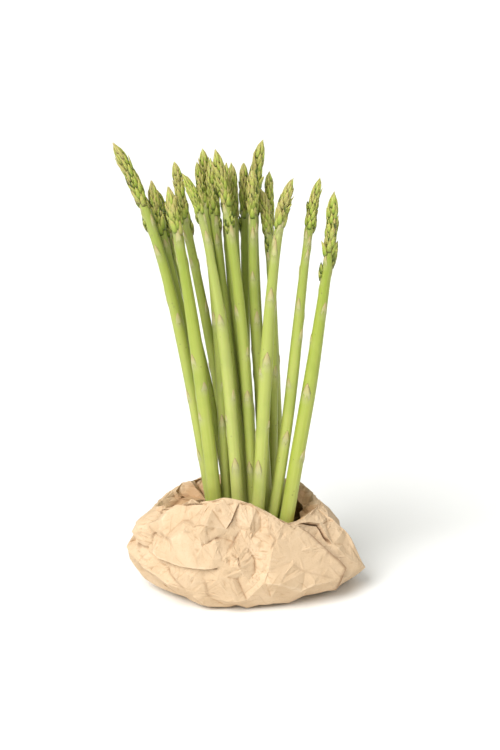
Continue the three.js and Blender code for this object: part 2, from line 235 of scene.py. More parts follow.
class StemLine:
    """The middle line of one spear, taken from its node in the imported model.

    The line's x and y are polynomials of the height, fitted to the middles of level slices through the
    node. The height is counted from MIDDLE_Z, in shares of it, so that its powers stay small.

    Attributes:
        triangles: the node's triangles, (n, 3, 3).
        foot, tip: heights of its lowest and its highest point.
        fit, slope: factors of the polynomials and of their slopes.
    """

    SLICE_STEP = 5.0
    FIRST_SLICE = 0.6
    LAST_SLICE = 1.0
    DEGREE = 8
    MIDDLE_Z = 140.0

    def __init__(self, node: str) -> None:
        """Slices the node and fits the line.

        Args:
            node: the spear's node.
        """
        mesh = frame["nodes"][node].data
        mesh.calc_loop_triangles()
        places = np.empty(len(mesh.vertices) * 3, dtype=np.float32)
        mesh.vertices.foreach_get("co", places)
        corners = np.empty(len(mesh.loop_triangles) * 3, dtype=np.int32)
        mesh.loop_triangles.foreach_get("vertices", corners)
        self.triangles = places.reshape(-1, 3)[corners.reshape(-1, 3)].astype(float) / METRES
        self.foot = float(self.triangles[..., 2].min())
        self.tip = float(self.triangles[..., 2].max())
        heights = np.arange(self.foot + self.FIRST_SLICE, self.tip - self.LAST_SLICE, self.SLICE_STEP)
        middles = np.array([self.slice_middle(height) for height in heights])
        scaled = (heights - self.MIDDLE_Z) / self.MIDDLE_Z
        self.fit = np.polynomial.polynomial.polyfit(scaled, middles, self.DEGREE)
        self.slope = np.polynomial.polynomial.polyder(self.fit)

    def slice_middle(self, height: float) -> tuple[float, float]:
        """The middle of the area of a level slice.

        Each triangle that the level cuts gives one stretch of the slice's outline, p to q, on the two sides
        that meet in its lone corner. Twice the area is the sum of p x q, and the middle is the sum of (p +
        q) (p x q) over six times the area.

        Args:
            height: height of the slice.

        Returns:
            x and y of the middle.
        """
        above = self.triangles[..., 2] > height
        number = above.sum(axis=1)
        cut = (number == 1) | (number == 2)
        corners, above, number = self.triangles[cut], above[cut], number[cut]
        lone = np.where(number == 1, above.argmax(axis=1), above.argmin(axis=1))
        row = np.arange(len(corners))
        a, b, c = (corners[row, (lone + step) % 3] for step in range(3))
        p = a + (b - a) * ((height - a[:, 2]) / (b[:, 2] - a[:, 2]))[:, None]
        q = a + (c - a) * ((height - a[:, 2]) / (c[:, 2] - a[:, 2]))[:, None]
        swept = np.where(number == 1, 1.0, -1.0) * (p[:, 0] * q[:, 1] - q[:, 0] * p[:, 1])
        six_areas = 3.0 * swept.sum()
        middle_x = ((p[:, 0] + q[:, 0]) * swept).sum() / six_areas
        middle_y = ((p[:, 1] + q[:, 1]) * swept).sum() / six_areas
        return middle_x, middle_y

    def place(self, angle: Array, height: Array, radius: Array) -> Array:
        """Points round the line: middle + radius (cos angle * side + sin angle * back), square to the growth.

        Args:
            angle: radians, 0 to the right, half pi to the back.
            height: height of the line's middle.
            radius: distance from the line.

        Returns:
            Places, with a last axis of 3.
        """
        angle, height, radius = np.broadcast_arrays(angle, height, radius)
        scaled = (height - self.MIDDLE_Z) / self.MIDDLE_Z
        middle_x, middle_y = np.polynomial.polynomial.polyval(scaled, self.fit)
        lean_x, lean_y = np.polynomial.polynomial.polyval(scaled, self.slope) / self.MIDDLE_Z
        growth = np.stack([lean_x, lean_y, np.ones_like(lean_x)], axis=-1)
        growth /= np.linalg.norm(growth, axis=-1, keepdims=True)
        side = np.cross([0.0, 1.0, 0.0], growth)
        side /= np.linalg.norm(side, axis=-1, keepdims=True)
        back = np.cross(growth, side)
        middle = np.stack([middle_x, middle_y, height], axis=-1)
        across = np.cos(angle)[..., None] * side + np.sin(angle)[..., None] * back
        return middle + radius[..., None] * across


class Part(Enum):
    """What a point of a spear belongs to, as the first number of its tone."""

    STEM = 0.0
    BRACT = 0.33
    HEAD_SCALE = 0.66
    BUD_SCALE = 1.0


class HeadForm(Enum):
    """How far the buds of a head stand out, as a share of the neck's diameter, and how many of them show."""

    SMOOTH = (0.02, 3)
    TIGHT = (0.1, 9)
    LOOSE = (0.2, 15)


@dataclass(frozen=True)
class Blade:
    """The outline and section of a scale or bract.

    Across goes from -1 to 1 between its edges, and along from 0 at the root to 1 at the tip. The half width
    is width * (1 - along ^ fullness) ^ 0.9. Over its carrier the outer face stands thickness, which grows
    in from the root, + belly * (1 - across^2) * sin(pi * along ^ 0.7) + flare * along^2. The root's middle
    sags.

    Attributes:
        rows: along of each ring.
        across: across of each point of a ring, over the outer face and back under the inner one.
        outer: share of the thickness and belly that each point of a ring stands out by.
        fullness: how late the blade narrows to its tip.
        thickness: of the blade.
    """

    rows: tuple[float, ...]
    across: tuple[float, ...]
    outer: tuple[float, ...]
    fullness: float
    thickness: float


BRACT_BLADE = Blade(
    rows=(0.0, 0.1, 0.24, 0.42, 0.62, 0.82),
    across=(-1.0, -0.6, 0.0, 0.6, 1.0, 0.6, 0.0, -0.6),
    outer=(0.35, 1.0, 1.0, 1.0, 0.35, 0.0, 0.0, 0.0),
    fullness=1.15,
    thickness=0.17,
)
HEAD_BLADE = Blade(
    rows=(0.0, 0.15, 0.34, 0.56, 0.8),
    across=(-1.0, -0.55, 0.0, 0.55, 1.0, 0.5, -0.5),
    outer=(0.2, 1.0, 1.1, 1.0, 0.2, 0.0, 0.0),
    fullness=2.0,
    thickness=0.3,
)
BUD_BLADE = Blade(
    rows=(0.0, 0.35, 0.75),
    across=(-1.0, 0.0, 1.0, 0.5, -0.5),
    outer=(0.3, 1.2, 0.3, 0.0, 0.0),
    fullness=2.2,
    thickness=0.16,
)


@dataclass(frozen=True)
class Bract:
    """A triangular bract on the stem.

    Attributes:
        height: height of its root.
        angle: its direction in degrees, 0 to the right and 90 to the back.
        size: its size against the rest.
    """

    height: float
    angle: float
    size: float = 1.0


@dataclass(frozen=True)
class SideBud:
    """A loose bud below the head.

    Attributes:
        height: height of its root.
        angle: its direction in degrees, 0 to the right and 90 to the back.
        length: of the bud.
        lean: how far its tip leans out.
    """

    height: float
    angle: float
    length: float
    lean: float = 0.6


@dataclass
class Scales:
    """Scales or bracts to be made, each field with one number for each of them.

    Attributes:
        height: height of the root. On a bud it is how far up the bud the root is.
        angle: direction of the root, in radians. On a bud it is round the bud, 0 outwards.
        length: of the scale.
        width: half of its greatest width.
        belly: how far its middle arches out.
        flare: how far its tip stands out.
        tint: a draw from 0 to 1 for its colour.
        hug: share of its length over which it follows its carrier.
    """

    height: Array
    angle: Array
    length: Array
    width: Array
    belly: Array
    flare: Array
    tint: Array
    hug: Array


@dataclass
class Buds:
    """Buds that stand on a stem, each field with one number for each of them.

    Attributes:
        root: height of the root.
        side: direction of the root on the stem, in radians.
        length: of the bud.
        girth: half of its greatest width.
        lean: how far its axis leaves the stem.
    """

    root: Array
    side: Array
    length: Array
    girth: Array
    lean: Array

    def repeated(self, times: int) -> "Buds":
        """Each bud so many times in a row."""
        return Buds(*(np.repeat(value, times) for value in vars(self).values()))


def gridded(group: Scales | Buds) -> Scales | Buds:
    """The group with each of its numbers on a first axis of three, for the rows and points of a grid."""
    return type(group)(*(value[:, None, None] for value in vars(group).values()))


@dataclass
class Spear:
    """One spear of asparagus.

    Attributes:
        name: the node that it replaces.
        stem: diameter low down.
        neck: diameter just under the head.
        head: length of the head.
        form: how far the head's buds stand out.
        seed: starts its random draws.
        waist: share by which the stem narrows just under the head.
        bracts: the bracts that show on the stem.
        buds: the loose buds below the head.
        pale: how pale its stem is, from 0 to 1.
        line: its middle line.
        draw: random draws.
    """

    name: str
    stem: float
    neck: float
    head: float
    form: HeadForm
    seed: int
    waist: float = 0.0
    bracts: tuple[Bract, ...] = ()
    buds: tuple[SideBud, ...] = ()
    pale: float = 0.45
    line: StemLine = field(init=False)
    draw: np.random.Generator = field(init=False)

    TAPER = 95.0  # how far under the head the stem starts to thin
    WAIST_SPREAD = 8.0  # how far up and down the waist reaches
    SWELL = 1.34  # the head's width against its neck's
    SWELL_SHARE = 0.36  # share of the head over which it swells
    SLIMMING = 0.9  # the head's width at its tip against its fullest, before the arrowhead
    POINT = 1.35  # the arrowhead's length against the head's width
    CORE = 0.74  # the core's width where scales stand on it, against the full width
    STEM_ROWS = 120
    STEM_AROUND = 26
    NODE_SWELL = 0.38  # how far the stem swells at a bract's root
    HEAD_SCALES = 42
    SCALES_IN_BUD = 5
    BUD_ROWS = 7
    BUD_AROUND = 8
    BRACT_LENGTH = 8.5
    COLLAR_BRACTS = 3
    HIDDEN_BRACTS = 5
    LOWEST_HIDDEN = 70.0  # height under which the bag hides every bract

    def __post_init__(self) -> None:
        """Takes the middle line from the spear's node, and starts the random draws."""
        self.line = StemLine(self.name)
        self.draw = np.random.default_rng(self.seed)

    def full_radius(self, height: Array) -> Array:
        """Half the width: stem to neck along a smooth step, a waist, a swell, then an arrowhead to the tip.

        The arrowhead is (1 - x^1.7)^0.92, where x goes from 0 at POINT full widths under the tip to 1 at
        the tip.

        Args:
            height: heights on the line.

        Returns:
            The radius at each height.
        """
        base = self.line.tip - self.head
        stem = blend(self.stem, self.neck, smooth(height, base - self.TAPER, base)) / 2
        waist = 1.0 - self.waist * hill(height, base - 1.0, self.WAIST_SPREAD)
        along = np.clip((height - base) / self.head, 0.0, 1.0)
        swell = blend(1.0, self.SWELL, np.sin(np.clip(along / self.SWELL_SHARE, 0.0, 1.0) * np.pi / 2))
        swell = swell * blend(1.0, self.SLIMMING, smooth(along, 0.4, 1.0))
        point = self.POINT * self.neck * self.SWELL
        arrowhead = (1.0 - np.clip((height - self.line.tip + point) / point, 0.0, 1.0) ** 1.7) ** 0.92
        return stem * waist * swell * arrowhead

    def core_radius(self, height: Array) -> Array:
        """The full radius, drawn in to CORE of it where scales stand on it, and half as much at the tip.

        Args:
            height: heights on the line.

        Returns:
            The radius at each height.
        """
        base = self.line.tip - self.head
        core = blend(self.CORE, 0.5 + self.CORE / 2, smooth(height, base + 0.5 * self.head, self.line.tip))
        return self.full_radius(height) * blend(1.0, core, smooth(height, base - 5.0, base + 7.0))

    def stem_surface(self, nodes: list[Bract]) -> Shape:
        """The stem and the head's core: rings along the line, with shallow ribs and a swelling at each node.

        The ribs are 1.2% of the radius in fives and 0.8% in nines, and they turn slowly on their way up. The
        swelling, and the paler band under it, are round hills on the stem.

        Args:
            nodes: the bracts, whose roots swell the stem.

        Returns:
            One closed tube.
        """
        share = np.linspace(0.0, 1.0, self.STEM_ROWS)
        height = blend(self.line.foot, self.line.tip - 0.4, share ** 0.9)[:, None]
        angle = np.linspace(0.5 * np.pi, 2.5 * np.pi, self.STEM_AROUND, endpoint=False)[None]
        ribs = 0.012 * np.sin(5 * angle + self.draw.uniform(0, 6) + 0.01 * height)
        ribs = ribs + 0.008 * np.sin(9 * angle + self.draw.uniform(0, 6) - 0.02 * height)
        radius = self.core_radius(height) * (1.0 + ribs)
        paler = np.zeros_like(radius)
        for node in nodes:
            apart = np.angle(np.exp(1j * (angle - math.radians(node.angle))))
            swelling = hill(height, node.height + 1.5, 2.6) * hill(apart, 0.0, 0.75)
            radius = radius + self.NODE_SWELL * node.size * swelling
            paler = np.maximum(paler, hill(height, node.height - 0.4, 2.4) * hill(apart, 0.0, 0.8))
        rings = self.line.place(angle, height, radius)
        rise = np.broadcast_to((height - self.line.foot) / (self.line.tip - self.line.foot), radius.shape)
        kind = np.full_like(rise, Part.STEM.value)
        tone = np.stack([kind, paler, rise, np.full_like(rise, self.pale)], axis=-1)
        flow = np.stack(np.broadcast_arrays(angle / (2 * np.pi) - 0.25, height / 100.0), axis=-1)
        ends = self.line.place(np.zeros(2), np.array([self.line.foot, self.line.tip]), np.zeros(2))
        return tubes(rings[None], ends[:1], ends[1:], tone[None], flow[None])

    def blades(self, blade: Blade, part: Part, scales: Scales, buds: Buds | None = None) -> Shape:
        """Scales on the stem, or on buds that stand on the stem.

        Args:
            blade: the scales' form.
            part: what the scales are, for the finish.
            scales: where the scales are, and their sizes.
            buds: for each scale the bud that carries it.

        Returns:
            All the scales as one shape.
        """
        one = gridded(scales)
        along = np.array(blade.rows + (1.0,))[None, :, None]
        across = np.array(blade.across)[None, None]
        outer = np.array(blade.outer)[None, None]
        half = one.width * (1.0 - along**blade.fullness) ** 0.9
        sag = 0.3 * one.width * (1.0 - across**2) * (1.0 - along) ** 2
        rise = one.height + one.length * along - sag
        hump = one.belly * (1.0 - across**2) * np.sin(np.pi * along**0.7)
        grown_in = np.maximum(np.sin(np.pi * np.clip(along * 1.7, 0.0, 0.5)), 0.45 * (1.0 - across**2))
        sunk = 0.25 * (1.0 - outer) * (1.0 - along) * blade.thickness
        lift = outer * (blade.thickness * grown_in + hump) + one.flare * along**2 - sunk
        if buds is None:
            carrier = self.core_radius(one.height + one.length * along * one.hug)
            carrier = np.maximum(carrier, 0.3)
            places = self.line.place(one.angle + half * across / carrier, rise, carrier + lift)
        else:
            places = self.on_buds(gridded(buds), one.angle, half * across, rise, lift)
        kind = np.full(places.shape[:-1], part.value)
        edge = np.broadcast_to(np.abs(across), kind.shape)
        tint = np.broadcast_to(self.pale if part is Part.BRACT else one.tint, kind.shape)
        tone = np.stack([kind, np.broadcast_to(along, kind.shape), edge, tint], axis=-1)
        flow = np.stack(np.broadcast_arrays(7.0 * one.tint + 0.06 * across, rise / 100.0), axis=-1)
        roots = places[:, 0].mean(axis=1)
        return tubes(places[:, :-1], roots, places[:, -1, 0], tone[:, :-1], flow[:, :-1])

    def on_buds(self, buds: Buds, angle: Array, sideways: Array, rise: Array, lift: Array) -> Array:
        """Places on leaning spindles that stand on the stem.

        Along the spindle the girth is girth * sqrt(sin(pi * (0.12 + 0.86 share))), and its axis leaves the
        stem by lean * share ^ 1.3. Round it the place is axis + girth (cos turn outwards + sin turn
        sideways).

        Args:
            buds: the bud of each place.
            angle: round the bud to the middle of each place's scale, 0 outwards.
            sideways: how far each place is beside that middle.
            rise: how far up the bud each place is.
            lift: how far each place stands over the bud.

        Returns:
            Places, with a last axis of 3.
        """
        share = np.clip(rise / buds.length, 0.0, 1.15)
        round_share = np.sin(np.pi * (0.12 + 0.86 * np.minimum(share, 1.0)))
        girth = buds.girth * np.sqrt(np.clip(round_share, 0.0, 1.0)) + 0.05
        turn = angle + sideways / np.maximum(girth, 0.5)
        out = buds.lean * share**1.3 + (girth + lift) * np.cos(turn)
        beside = (girth + lift) * np.sin(turn)
        carrier = self.core_radius(buds.root + 0.6 * rise) + out - 0.2 * buds.girth
        return self.line.place(buds.side + beside / np.maximum(carrier, 1.0), buds.root + rise, carrier)

    def spindles(self, buds: Buds) -> Shape:
        """The bodies of buds, a little thinner than the buds, with their tips drawn out.

        Args:
            buds: the buds.

        Returns:
            A closed tube for each bud.
        """
        wide = gridded(buds)
        around = np.linspace(0.0, 2 * np.pi, self.BUD_AROUND, endpoint=False)[None, None]
        share = np.linspace(0.0, 1.0, self.BUD_ROWS)[None, :, None]
        rise, around = np.broadcast_arrays(share * wide.length, around)
        none = np.zeros_like(rise)
        places = self.on_buds(wide, around, none, rise, none - 0.12)
        tone = np.stack([none + Part.BUD_SCALE.value, none, none, none + 0.5], axis=-1)
        flow = np.stack([rise / 50.0, rise / 100.0], axis=-1)
        tip = none[:, -1:, :1]
        tips = self.on_buds(wide, tip, tip, 1.06 * wide.length, tip - 0.1)
        return tubes(places, places[:, 0].mean(axis=1), tips[:, 0, 0], tone, flow)

    def bud_clusters(self, buds: Buds) -> list[Shape]:
        """Buds: a spindle each, with small scales that overlap up and round it.

        Args:
            buds: the buds.

        Returns:
            The spindles and their scales.
        """
        number = self.SCALES_IN_BUD
        total = len(buds.root) * number
        each = buds.repeated(number)
        step = np.tile(np.arange(number) / number, len(buds.root))
        turn = np.tile(np.arange(number) * math.radians(150.0), len(buds.root))
        outward = 0.8 * np.angle(np.exp(1j * turn))
        scales = Scales(
            height=each.length * (0.72 * step - 0.02),
            angle=outward + self.draw.uniform(-0.25, 0.25, total),
            length=each.length * blend(0.62, 0.42, step) * self.draw.uniform(0.9, 1.15, total),
            width=each.girth * blend(1.25, 0.75, step),
            belly=0.14 * each.girth,
            flare=0.12 * each.girth * self.draw.uniform(0.0, 1.4, total),
            tint=self.draw.uniform(0.0, 1.0, total),
            hug=np.ones(total),
        )
        return [self.spindles(buds), self.blades(BUD_BLADE, Part.BUD_SCALE, scales, each)]

    def head_shapes(self) -> list[Shape]:
        """The head: scales up a golden-angle spiral, each lower one with a bud standing in its corner.

        Returns:
            The head's scales and buds.
        """
        count = self.HEAD_SCALES
        stand, bud_count = self.form.value
        stand *= self.neck
        number = np.arange(count)
        share = number / (count - 1)
        turn = self.draw.uniform(0.0, 2 * np.pi)
        height = self.line.tip - self.head - 4.0 + (self.head - 1.5) * share**0.92
        angle = turn + number * GOLDEN_ANGLE + self.draw.uniform(-0.15, 0.15, count)
        size = blend(1.0, 0.66, share) * self.draw.uniform(0.85, 1.15, count)
        open_share = 3.0 * self.draw.uniform(0.0, 1.0, count) ** 2 - 0.3
        scales = Scales(
            height=height,
            angle=angle,
            length=np.minimum(self.neck * blend(1.5, 1.8, share) * size, self.line.tip + 0.9 - height),
            width=self.neck * blend(0.37, 0.32, share) * size,
            belly=self.neck * 0.16 * size * (1.0 - 0.8 * share),
            flare=stand * smooth(share, 1.0, 0.6) * size * open_share,
            tint=np.clip(self.draw.uniform(0.0, 1.0, count) + 0.3 * share, 0.0, 1.0),
            hug=blend(0.85, 1.0, share**2),
        )
        with_bud = slice(3, 3 + bud_count)
        beside = self.draw.choice([-1.0, 1.0], bud_count) * self.draw.uniform(0.15, 0.6, bud_count)
        buds = Buds(
            root=height[with_bud] + 0.45 * self.neck,
            side=angle[with_bud] + beside,
            length=self.neck * 1.5 * size[with_bud] * self.draw.uniform(0.85, 1.2, bud_count),
            girth=self.neck * 0.22 * size[with_bud] * self.draw.uniform(0.85, 1.15, bud_count),
            lean=stand * size[with_bud] * self.draw.uniform(0.0, 1.0, bud_count),
        )
        return [self.blades(HEAD_BLADE, Part.HEAD_SCALE, scales), *self.bud_clusters(buds)]

    def side_buds(self) -> list[Shape]:
        """The loose buds below the head.

        Returns:
            Their spindles and scales, or nothing where the spear has no loose bud.
        """
        if not self.buds:
            return []
        sizes = [(bud.height, bud.angle, bud.length, bud.lean) for bud in self.buds]
        height, angle, length, lean = np.array(sizes, dtype=float).T
        buds = Buds(height, np.radians(angle), length, 0.19 * self.neck + 0.035 * length, lean + 0.4)
        return self.bud_clusters(buds)

    def all_bracts(self) -> list[Bract]:
        """A collar of bracts under the head, those that show, one at each loose bud, and some at the back.

        Returns:
            The spear's bracts.
        """
        base = self.line.tip - self.head
        low = self.draw.uniform(0.0, 2 * np.pi)
        collar = [
            Bract(
                height=base - 3.5 - 5.5 * step,
                angle=math.degrees(low + step * GOLDEN_ANGLE),
                size=self.draw.uniform(1.0, 1.2),
            )
            for step in range(self.COLLAR_BRACTS)
        ]
        far = [
            Bract(
                height=base - 16.0 - 38.0 * step - 12.0 * self.draw.uniform(),
                angle=self.draw.uniform(15.0, 165.0),
                size=self.draw.uniform(0.8, 1.1),
            )
            for step in range(self.HIDDEN_BRACTS)
        ]
        at_buds = [Bract(bud.height - 1.0, bud.angle, 0.75) for bud in self.buds]
        over_bag = [bract for bract in far if bract.height > self.LOWEST_HIDDEN]
        return [*collar, *self.bracts, *at_buds, *over_bag]

    def bract_shapes(self, bracts: list[Bract]) -> Shape:
        """Triangular bracts that lie against the stem, with a bud's low belly and a free tip.

        Args:
            bracts: the bracts.

        Returns:
            All the bracts as one shape.
        """
        height, angle, size = np.array([(one.height, one.angle, one.size) for one in bracts], dtype=float).T
        count = len(bracts)
        scales = Scales(
            height=height,
            angle=np.radians(angle),
            length=self.BRACT_LENGTH * size * self.draw.uniform(0.75, 1.0, count),
            width=0.88 * self.full_radius(height) * np.minimum(size, 1.1),
            belly=0.3 * size,
            flare=self.draw.uniform(0.0, 0.2, count),
            tint=self.draw.uniform(0.0, 1.0, count),
            hug=np.ones(count),
        )
        return self.blades(BRACT_BLADE, Part.BRACT, scales)

    def build(self, material: Material) -> Object:
        """Makes the whole spear as one piece in the place of its node.

        Args:
            material: the spear's finish.

        Returns:
            The spear.
        """
        bracts = self.all_bracts()
        shapes = [self.stem_surface(bracts), self.bract_shapes(bracts)]
        shapes += self.head_shapes() + self.side_buds()
        piece = make_object(f"asparagus_{self.name}", joined(shapes), material)
        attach(piece, "root")
        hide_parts(self.name)
        LOG.info("%s: %d faces", piece.name, len(piece.data.polygons))
        return piece


SPEARS = (
    Spear("spear_a", 7.2, 5.6, 34, HeadForm.LOOSE, 11, 0.12,
          bracts=(Bract(170, -70), Bract(123, -147), Bract(210, -115, 1.2), Bract(234, -165), Bract(86, -150),
                  Bract(182, -176, 0.7)),
          buds=(SideBud(240, -178, 6, 0.8), SideBud(226, -178, 8, 0.3))),
    Spear("spear_b", 6.6, 5.8, 27, HeadForm.LOOSE, 12, bracts=(Bract(213, -70),)),
    Spear("spear_c", 5.2, 4.2, 26, HeadForm.LOOSE, 13,
          buds=(SideBud(211, -50, 9, 0.6), SideBud(205, -140, 8, 0.5))),
    Spear("spear_d", 6.2, 5, 33, HeadForm.TIGHT, 14,
          bracts=(Bract(175, -39), Bract(203, -125), Bract(140, -170, 0.8), Bract(202, -4, 0.7)),
          buds=(SideBud(222, -10, 9, 0.4),)),
    Spear("spear_e", 8.2, 5.8, 23, HeadForm.LOOSE, 15,
          bracts=(Bract(220, -82, 1.3), Bract(148, -137), Bract(133, -60, 0.8), Bract(115, -140, 0.7),
                  Bract(208, -170, 0.8)), pale=0.25),
    Spear("spear_f", 7.0, 4.4, 20, HeadForm.TIGHT, 16, 0.08,
          bracts=(Bract(221, -78, 1.2), Bract(173, -94), Bract(127, -40, 0.9), Bract(207, -175, 0.7),
                  Bract(114, -150, 0.6), Bract(82, -85, 1.3)),
          buds=(SideBud(233, -175, 6, 0.3),), pale=0.8),
    Spear("spear_g", 6.2, 4.8, 24, HeadForm.LOOSE, 17,
          bracts=(Bract(168, -126, 1.2), Bract(106, -97, 1.2), Bract(83, -170, 0.9), Bract(132, -74, 0.5)),
          pale=0.5),
    Spear("spear_h", 6.2, 5, 30, HeadForm.LOOSE, 18, buds=(SideBud(228, -70, 8),)),
    Spear("spear_i", 6.2, 5.2, 30, HeadForm.LOOSE, 19,
          bracts=(Bract(216, -90),), buds=(SideBud(224, -30, 8),)),
    Spear("spear_j", 6.8, 5.6, 28, HeadForm.LOOSE, 20, 0.2,
          bracts=(Bract(222, -70, 1.1), Bract(176, -138), Bract(152, -45, 0.8), Bract(124, -87, 1.1),
                  Bract(78, -111, 1.1)),
          buds=(SideBud(229, -40, 9, 0.8), SideBud(226, -120, 8, 0.6))),
    Spear("spear_k", 6.4, 5, 28, HeadForm.LOOSE, 21),
    Spear("spear_l", 6.4, 5, 28, HeadForm.TIGHT, 22),
    Spear("spear_m", 6.0, 4.8, 29, HeadForm.TIGHT, 23, buds=(SideBud(221, -165, 9, 0.7),)),
    Spear("spear_n", 6.8, 5.8, 36, HeadForm.LOOSE, 24, buds=(SideBud(232, -30, 8),)),
    Spear("spear_o", 6.4, 5.2, 24, HeadForm.LOOSE, 25, 0.18,
          bracts=(Bract(219, -92, 1.3), Bract(196, -100, 0.8), Bract(169, -64, 1.2), Bract(152, -160, 0.7))),
    Spear("spear_p", 5.8, 4.4, 30, HeadForm.SMOOTH, 26, bracts=(Bract(222, -100, 1.1), Bract(140, -8, 0.8))),
    Spear("spear_q", 5.8, 4.8, 24, HeadForm.TIGHT, 27,
          bracts=(Bract(134, -66), Bract(205, -120)), buds=(SideBud(212, -120, 9),)),
    Spear("spear_r", 7.8, 5.2, 25, HeadForm.LOOSE, 28,
          bracts=(Bract(186, -95, 1.5), Bract(148, -87, 1.2), Bract(142, -150, 0.8), Bract(110, -24, 0.8),
                  Bract(80, -114, 1.3), Bract(226, -84, 1.2), Bract(212, -110, 1.5), Bract(181, -8, 0.8)),
          pale=0.6),
    Spear("spear_s", 7.0, 4.6, 25, HeadForm.LOOSE, 29,
          bracts=(Bract(180, -117), Bract(162, -40, 0.9), Bract(133, -131, 0.8), Bract(98, -81, 1.2),
                  Bract(221, -128), Bract(210, -70), Bract(201, -175, 0.8)),
          buds=(SideBud(238, -175, 5, 1.2), SideBud(226, -4, 9, 0.9))),
    Spear("spear_t", 8.6, 5.6, 33, HeadForm.LOOSE, 30, 0.06,
          bracts=(Bract(178, -58, 1.1), Bract(160, -175, 0.9), Bract(127, -115, 1.2), Bract(88, -40)),
          buds=(SideBud(206, -4, 15, 1.6), SideBud(198, -172, 10, 1.0)), pale=0.15),
)


# ---- The paper bag ----


FIRST_MIXER = np.uint64(0x9E3779B97F4A7C15)
SECOND_MIXER = np.uint64(0xBF58476D1CE4E5B9)
LOW_BITS = np.uint64(0xFFFFFF)
LATTICE_SHIFT = 100.0


def lattice_draw(corner: Array, seed: int) -> Array:
    """A repeatable value from -1 to 1 for each lattice corner, by mixing the bits of its three whole numbers.

    Args:
        corner: (..., 3), whole numbers.
        seed: starts another set of values.

    Returns:
        (...), the values.
    """
    mixed = np.full(corner.shape[:-1], seed * 7919 + 17, dtype=np.uint64)
    for axis in range(3):
        mixed = (mixed ^ corner[..., axis].astype(np.int64).astype(np.uint64)) * FIRST_MIXER
        mixed ^= mixed >> np.uint64(29)
    mixed *= SECOND_MIXER
    mixed ^= mixed >> np.uint64(32)
    return (mixed & LOW_BITS).astype(float) / float(LOW_BITS >> np.uint64(1)) - 1.0


def nearest_site(places: Array, cell: float, seed: int) -> Array:
    """Squared distance to the nearest of a set of scattered sites, one in each cube of a turned lattice.

    The places are shifted by LATTICE_SHIFT cubes, so that no cube has a number below 0.

    Args:
        places: (..., 3).
        cell: edge of the cubes.
        seed: picks the sites and the lattice's turn.

    Returns:
        (...), in shares of the cube's edge, squared.
    """
    turn, _ = np.linalg.qr(np.random.default_rng(seed).normal(size=(3, 3)))
    scaled = places @ turn / cell + LATTICE_SHIFT
    home = np.floor(scaled).astype(np.int64)
    nearest = np.full(places.shape[:-1], np.inf)
    for step in np.ndindex(3, 3, 3):
        corner = home + (np.array(step) - 1)
        jitter = np.stack([lattice_draw(corner, seed + 100 * axis) for axis in (1, 2, 3)], axis=-1)
        away = scaled - (corner + 0.5 + 0.5 * jitter)
        nearest = np.minimum(nearest, (away**2).sum(axis=-1))
    return nearest


@dataclass(frozen=True)
class Level:
    """One level of the bag in eight directions, from the right (+X) round by the back.

    Attributes:
        reach: how far from the bag's middle it is in each direction.
        height: how high it is there.
    """

    reach: tuple[float, ...]
    height: tuple[float, ...]

    def knots(self) -> Array:
        """The eight points of the level.

        Returns:
            (8, 3).
        """
        turn = np.arange(8) * np.pi / 4
        reach, height = np.array([self.reach, self.height], dtype=float)
        return np.stack([reach * np.cos(turn), reach * np.sin(turn), height], axis=-1)


@dataclass(frozen=True)
class Crease:
    """A crease that shows from the front.

    Attributes:
        path: across and down in the front camera's 500 by 750 frame.
        height: how far it stands out of the smooth sheet; below 0 it sinks in.
        reach: how far from it the paper still rises or sinks.
        inside: whether it is on the bag's inside.
    """

    path: Path
    height: float
    reach: float = 12.0
    inside: bool = False


@dataclass(frozen=True)
class Lap:
    """The free edge of a fold that lies over the paper below it. The upper paper is on the left of its path.

    Attributes:
        path: across and down in the front camera's frame.
        over: how far the upper paper stands out.
        under: how far the paper below it sinks in.
        reach: how far the upper paper takes to settle.
        overhang: how far the edge goes over the paper below.
        groove: how much deeper the paper below is right under the edge.
        shade: how far the painted shade of the fold reaches beside the edge, on the paper below it.
        rim: how far that painted shade reaches on the edge's own side.
    """

    path: Path
    over: float
    under: float
    reach: float = 24.0
    overhang: float = 2.2
    groove: float = 1.6
    shade: float = 1.8
    rim: float = 0.0


@dataclass(frozen=True)
class Patch:
    """A round patch of the front.

    Attributes:
        middle: across and down in the front camera's frame.
        radius: in the same frame.
        share: how far it calms the paper, or how much rougher the paper is in it.
        sites: how many corners are added in it.
        inside: whether it is on the bag's inside.
    """

    middle: tuple[float, float]
    radius: float
    share: float
    sites: int = 0
    inside: bool = False


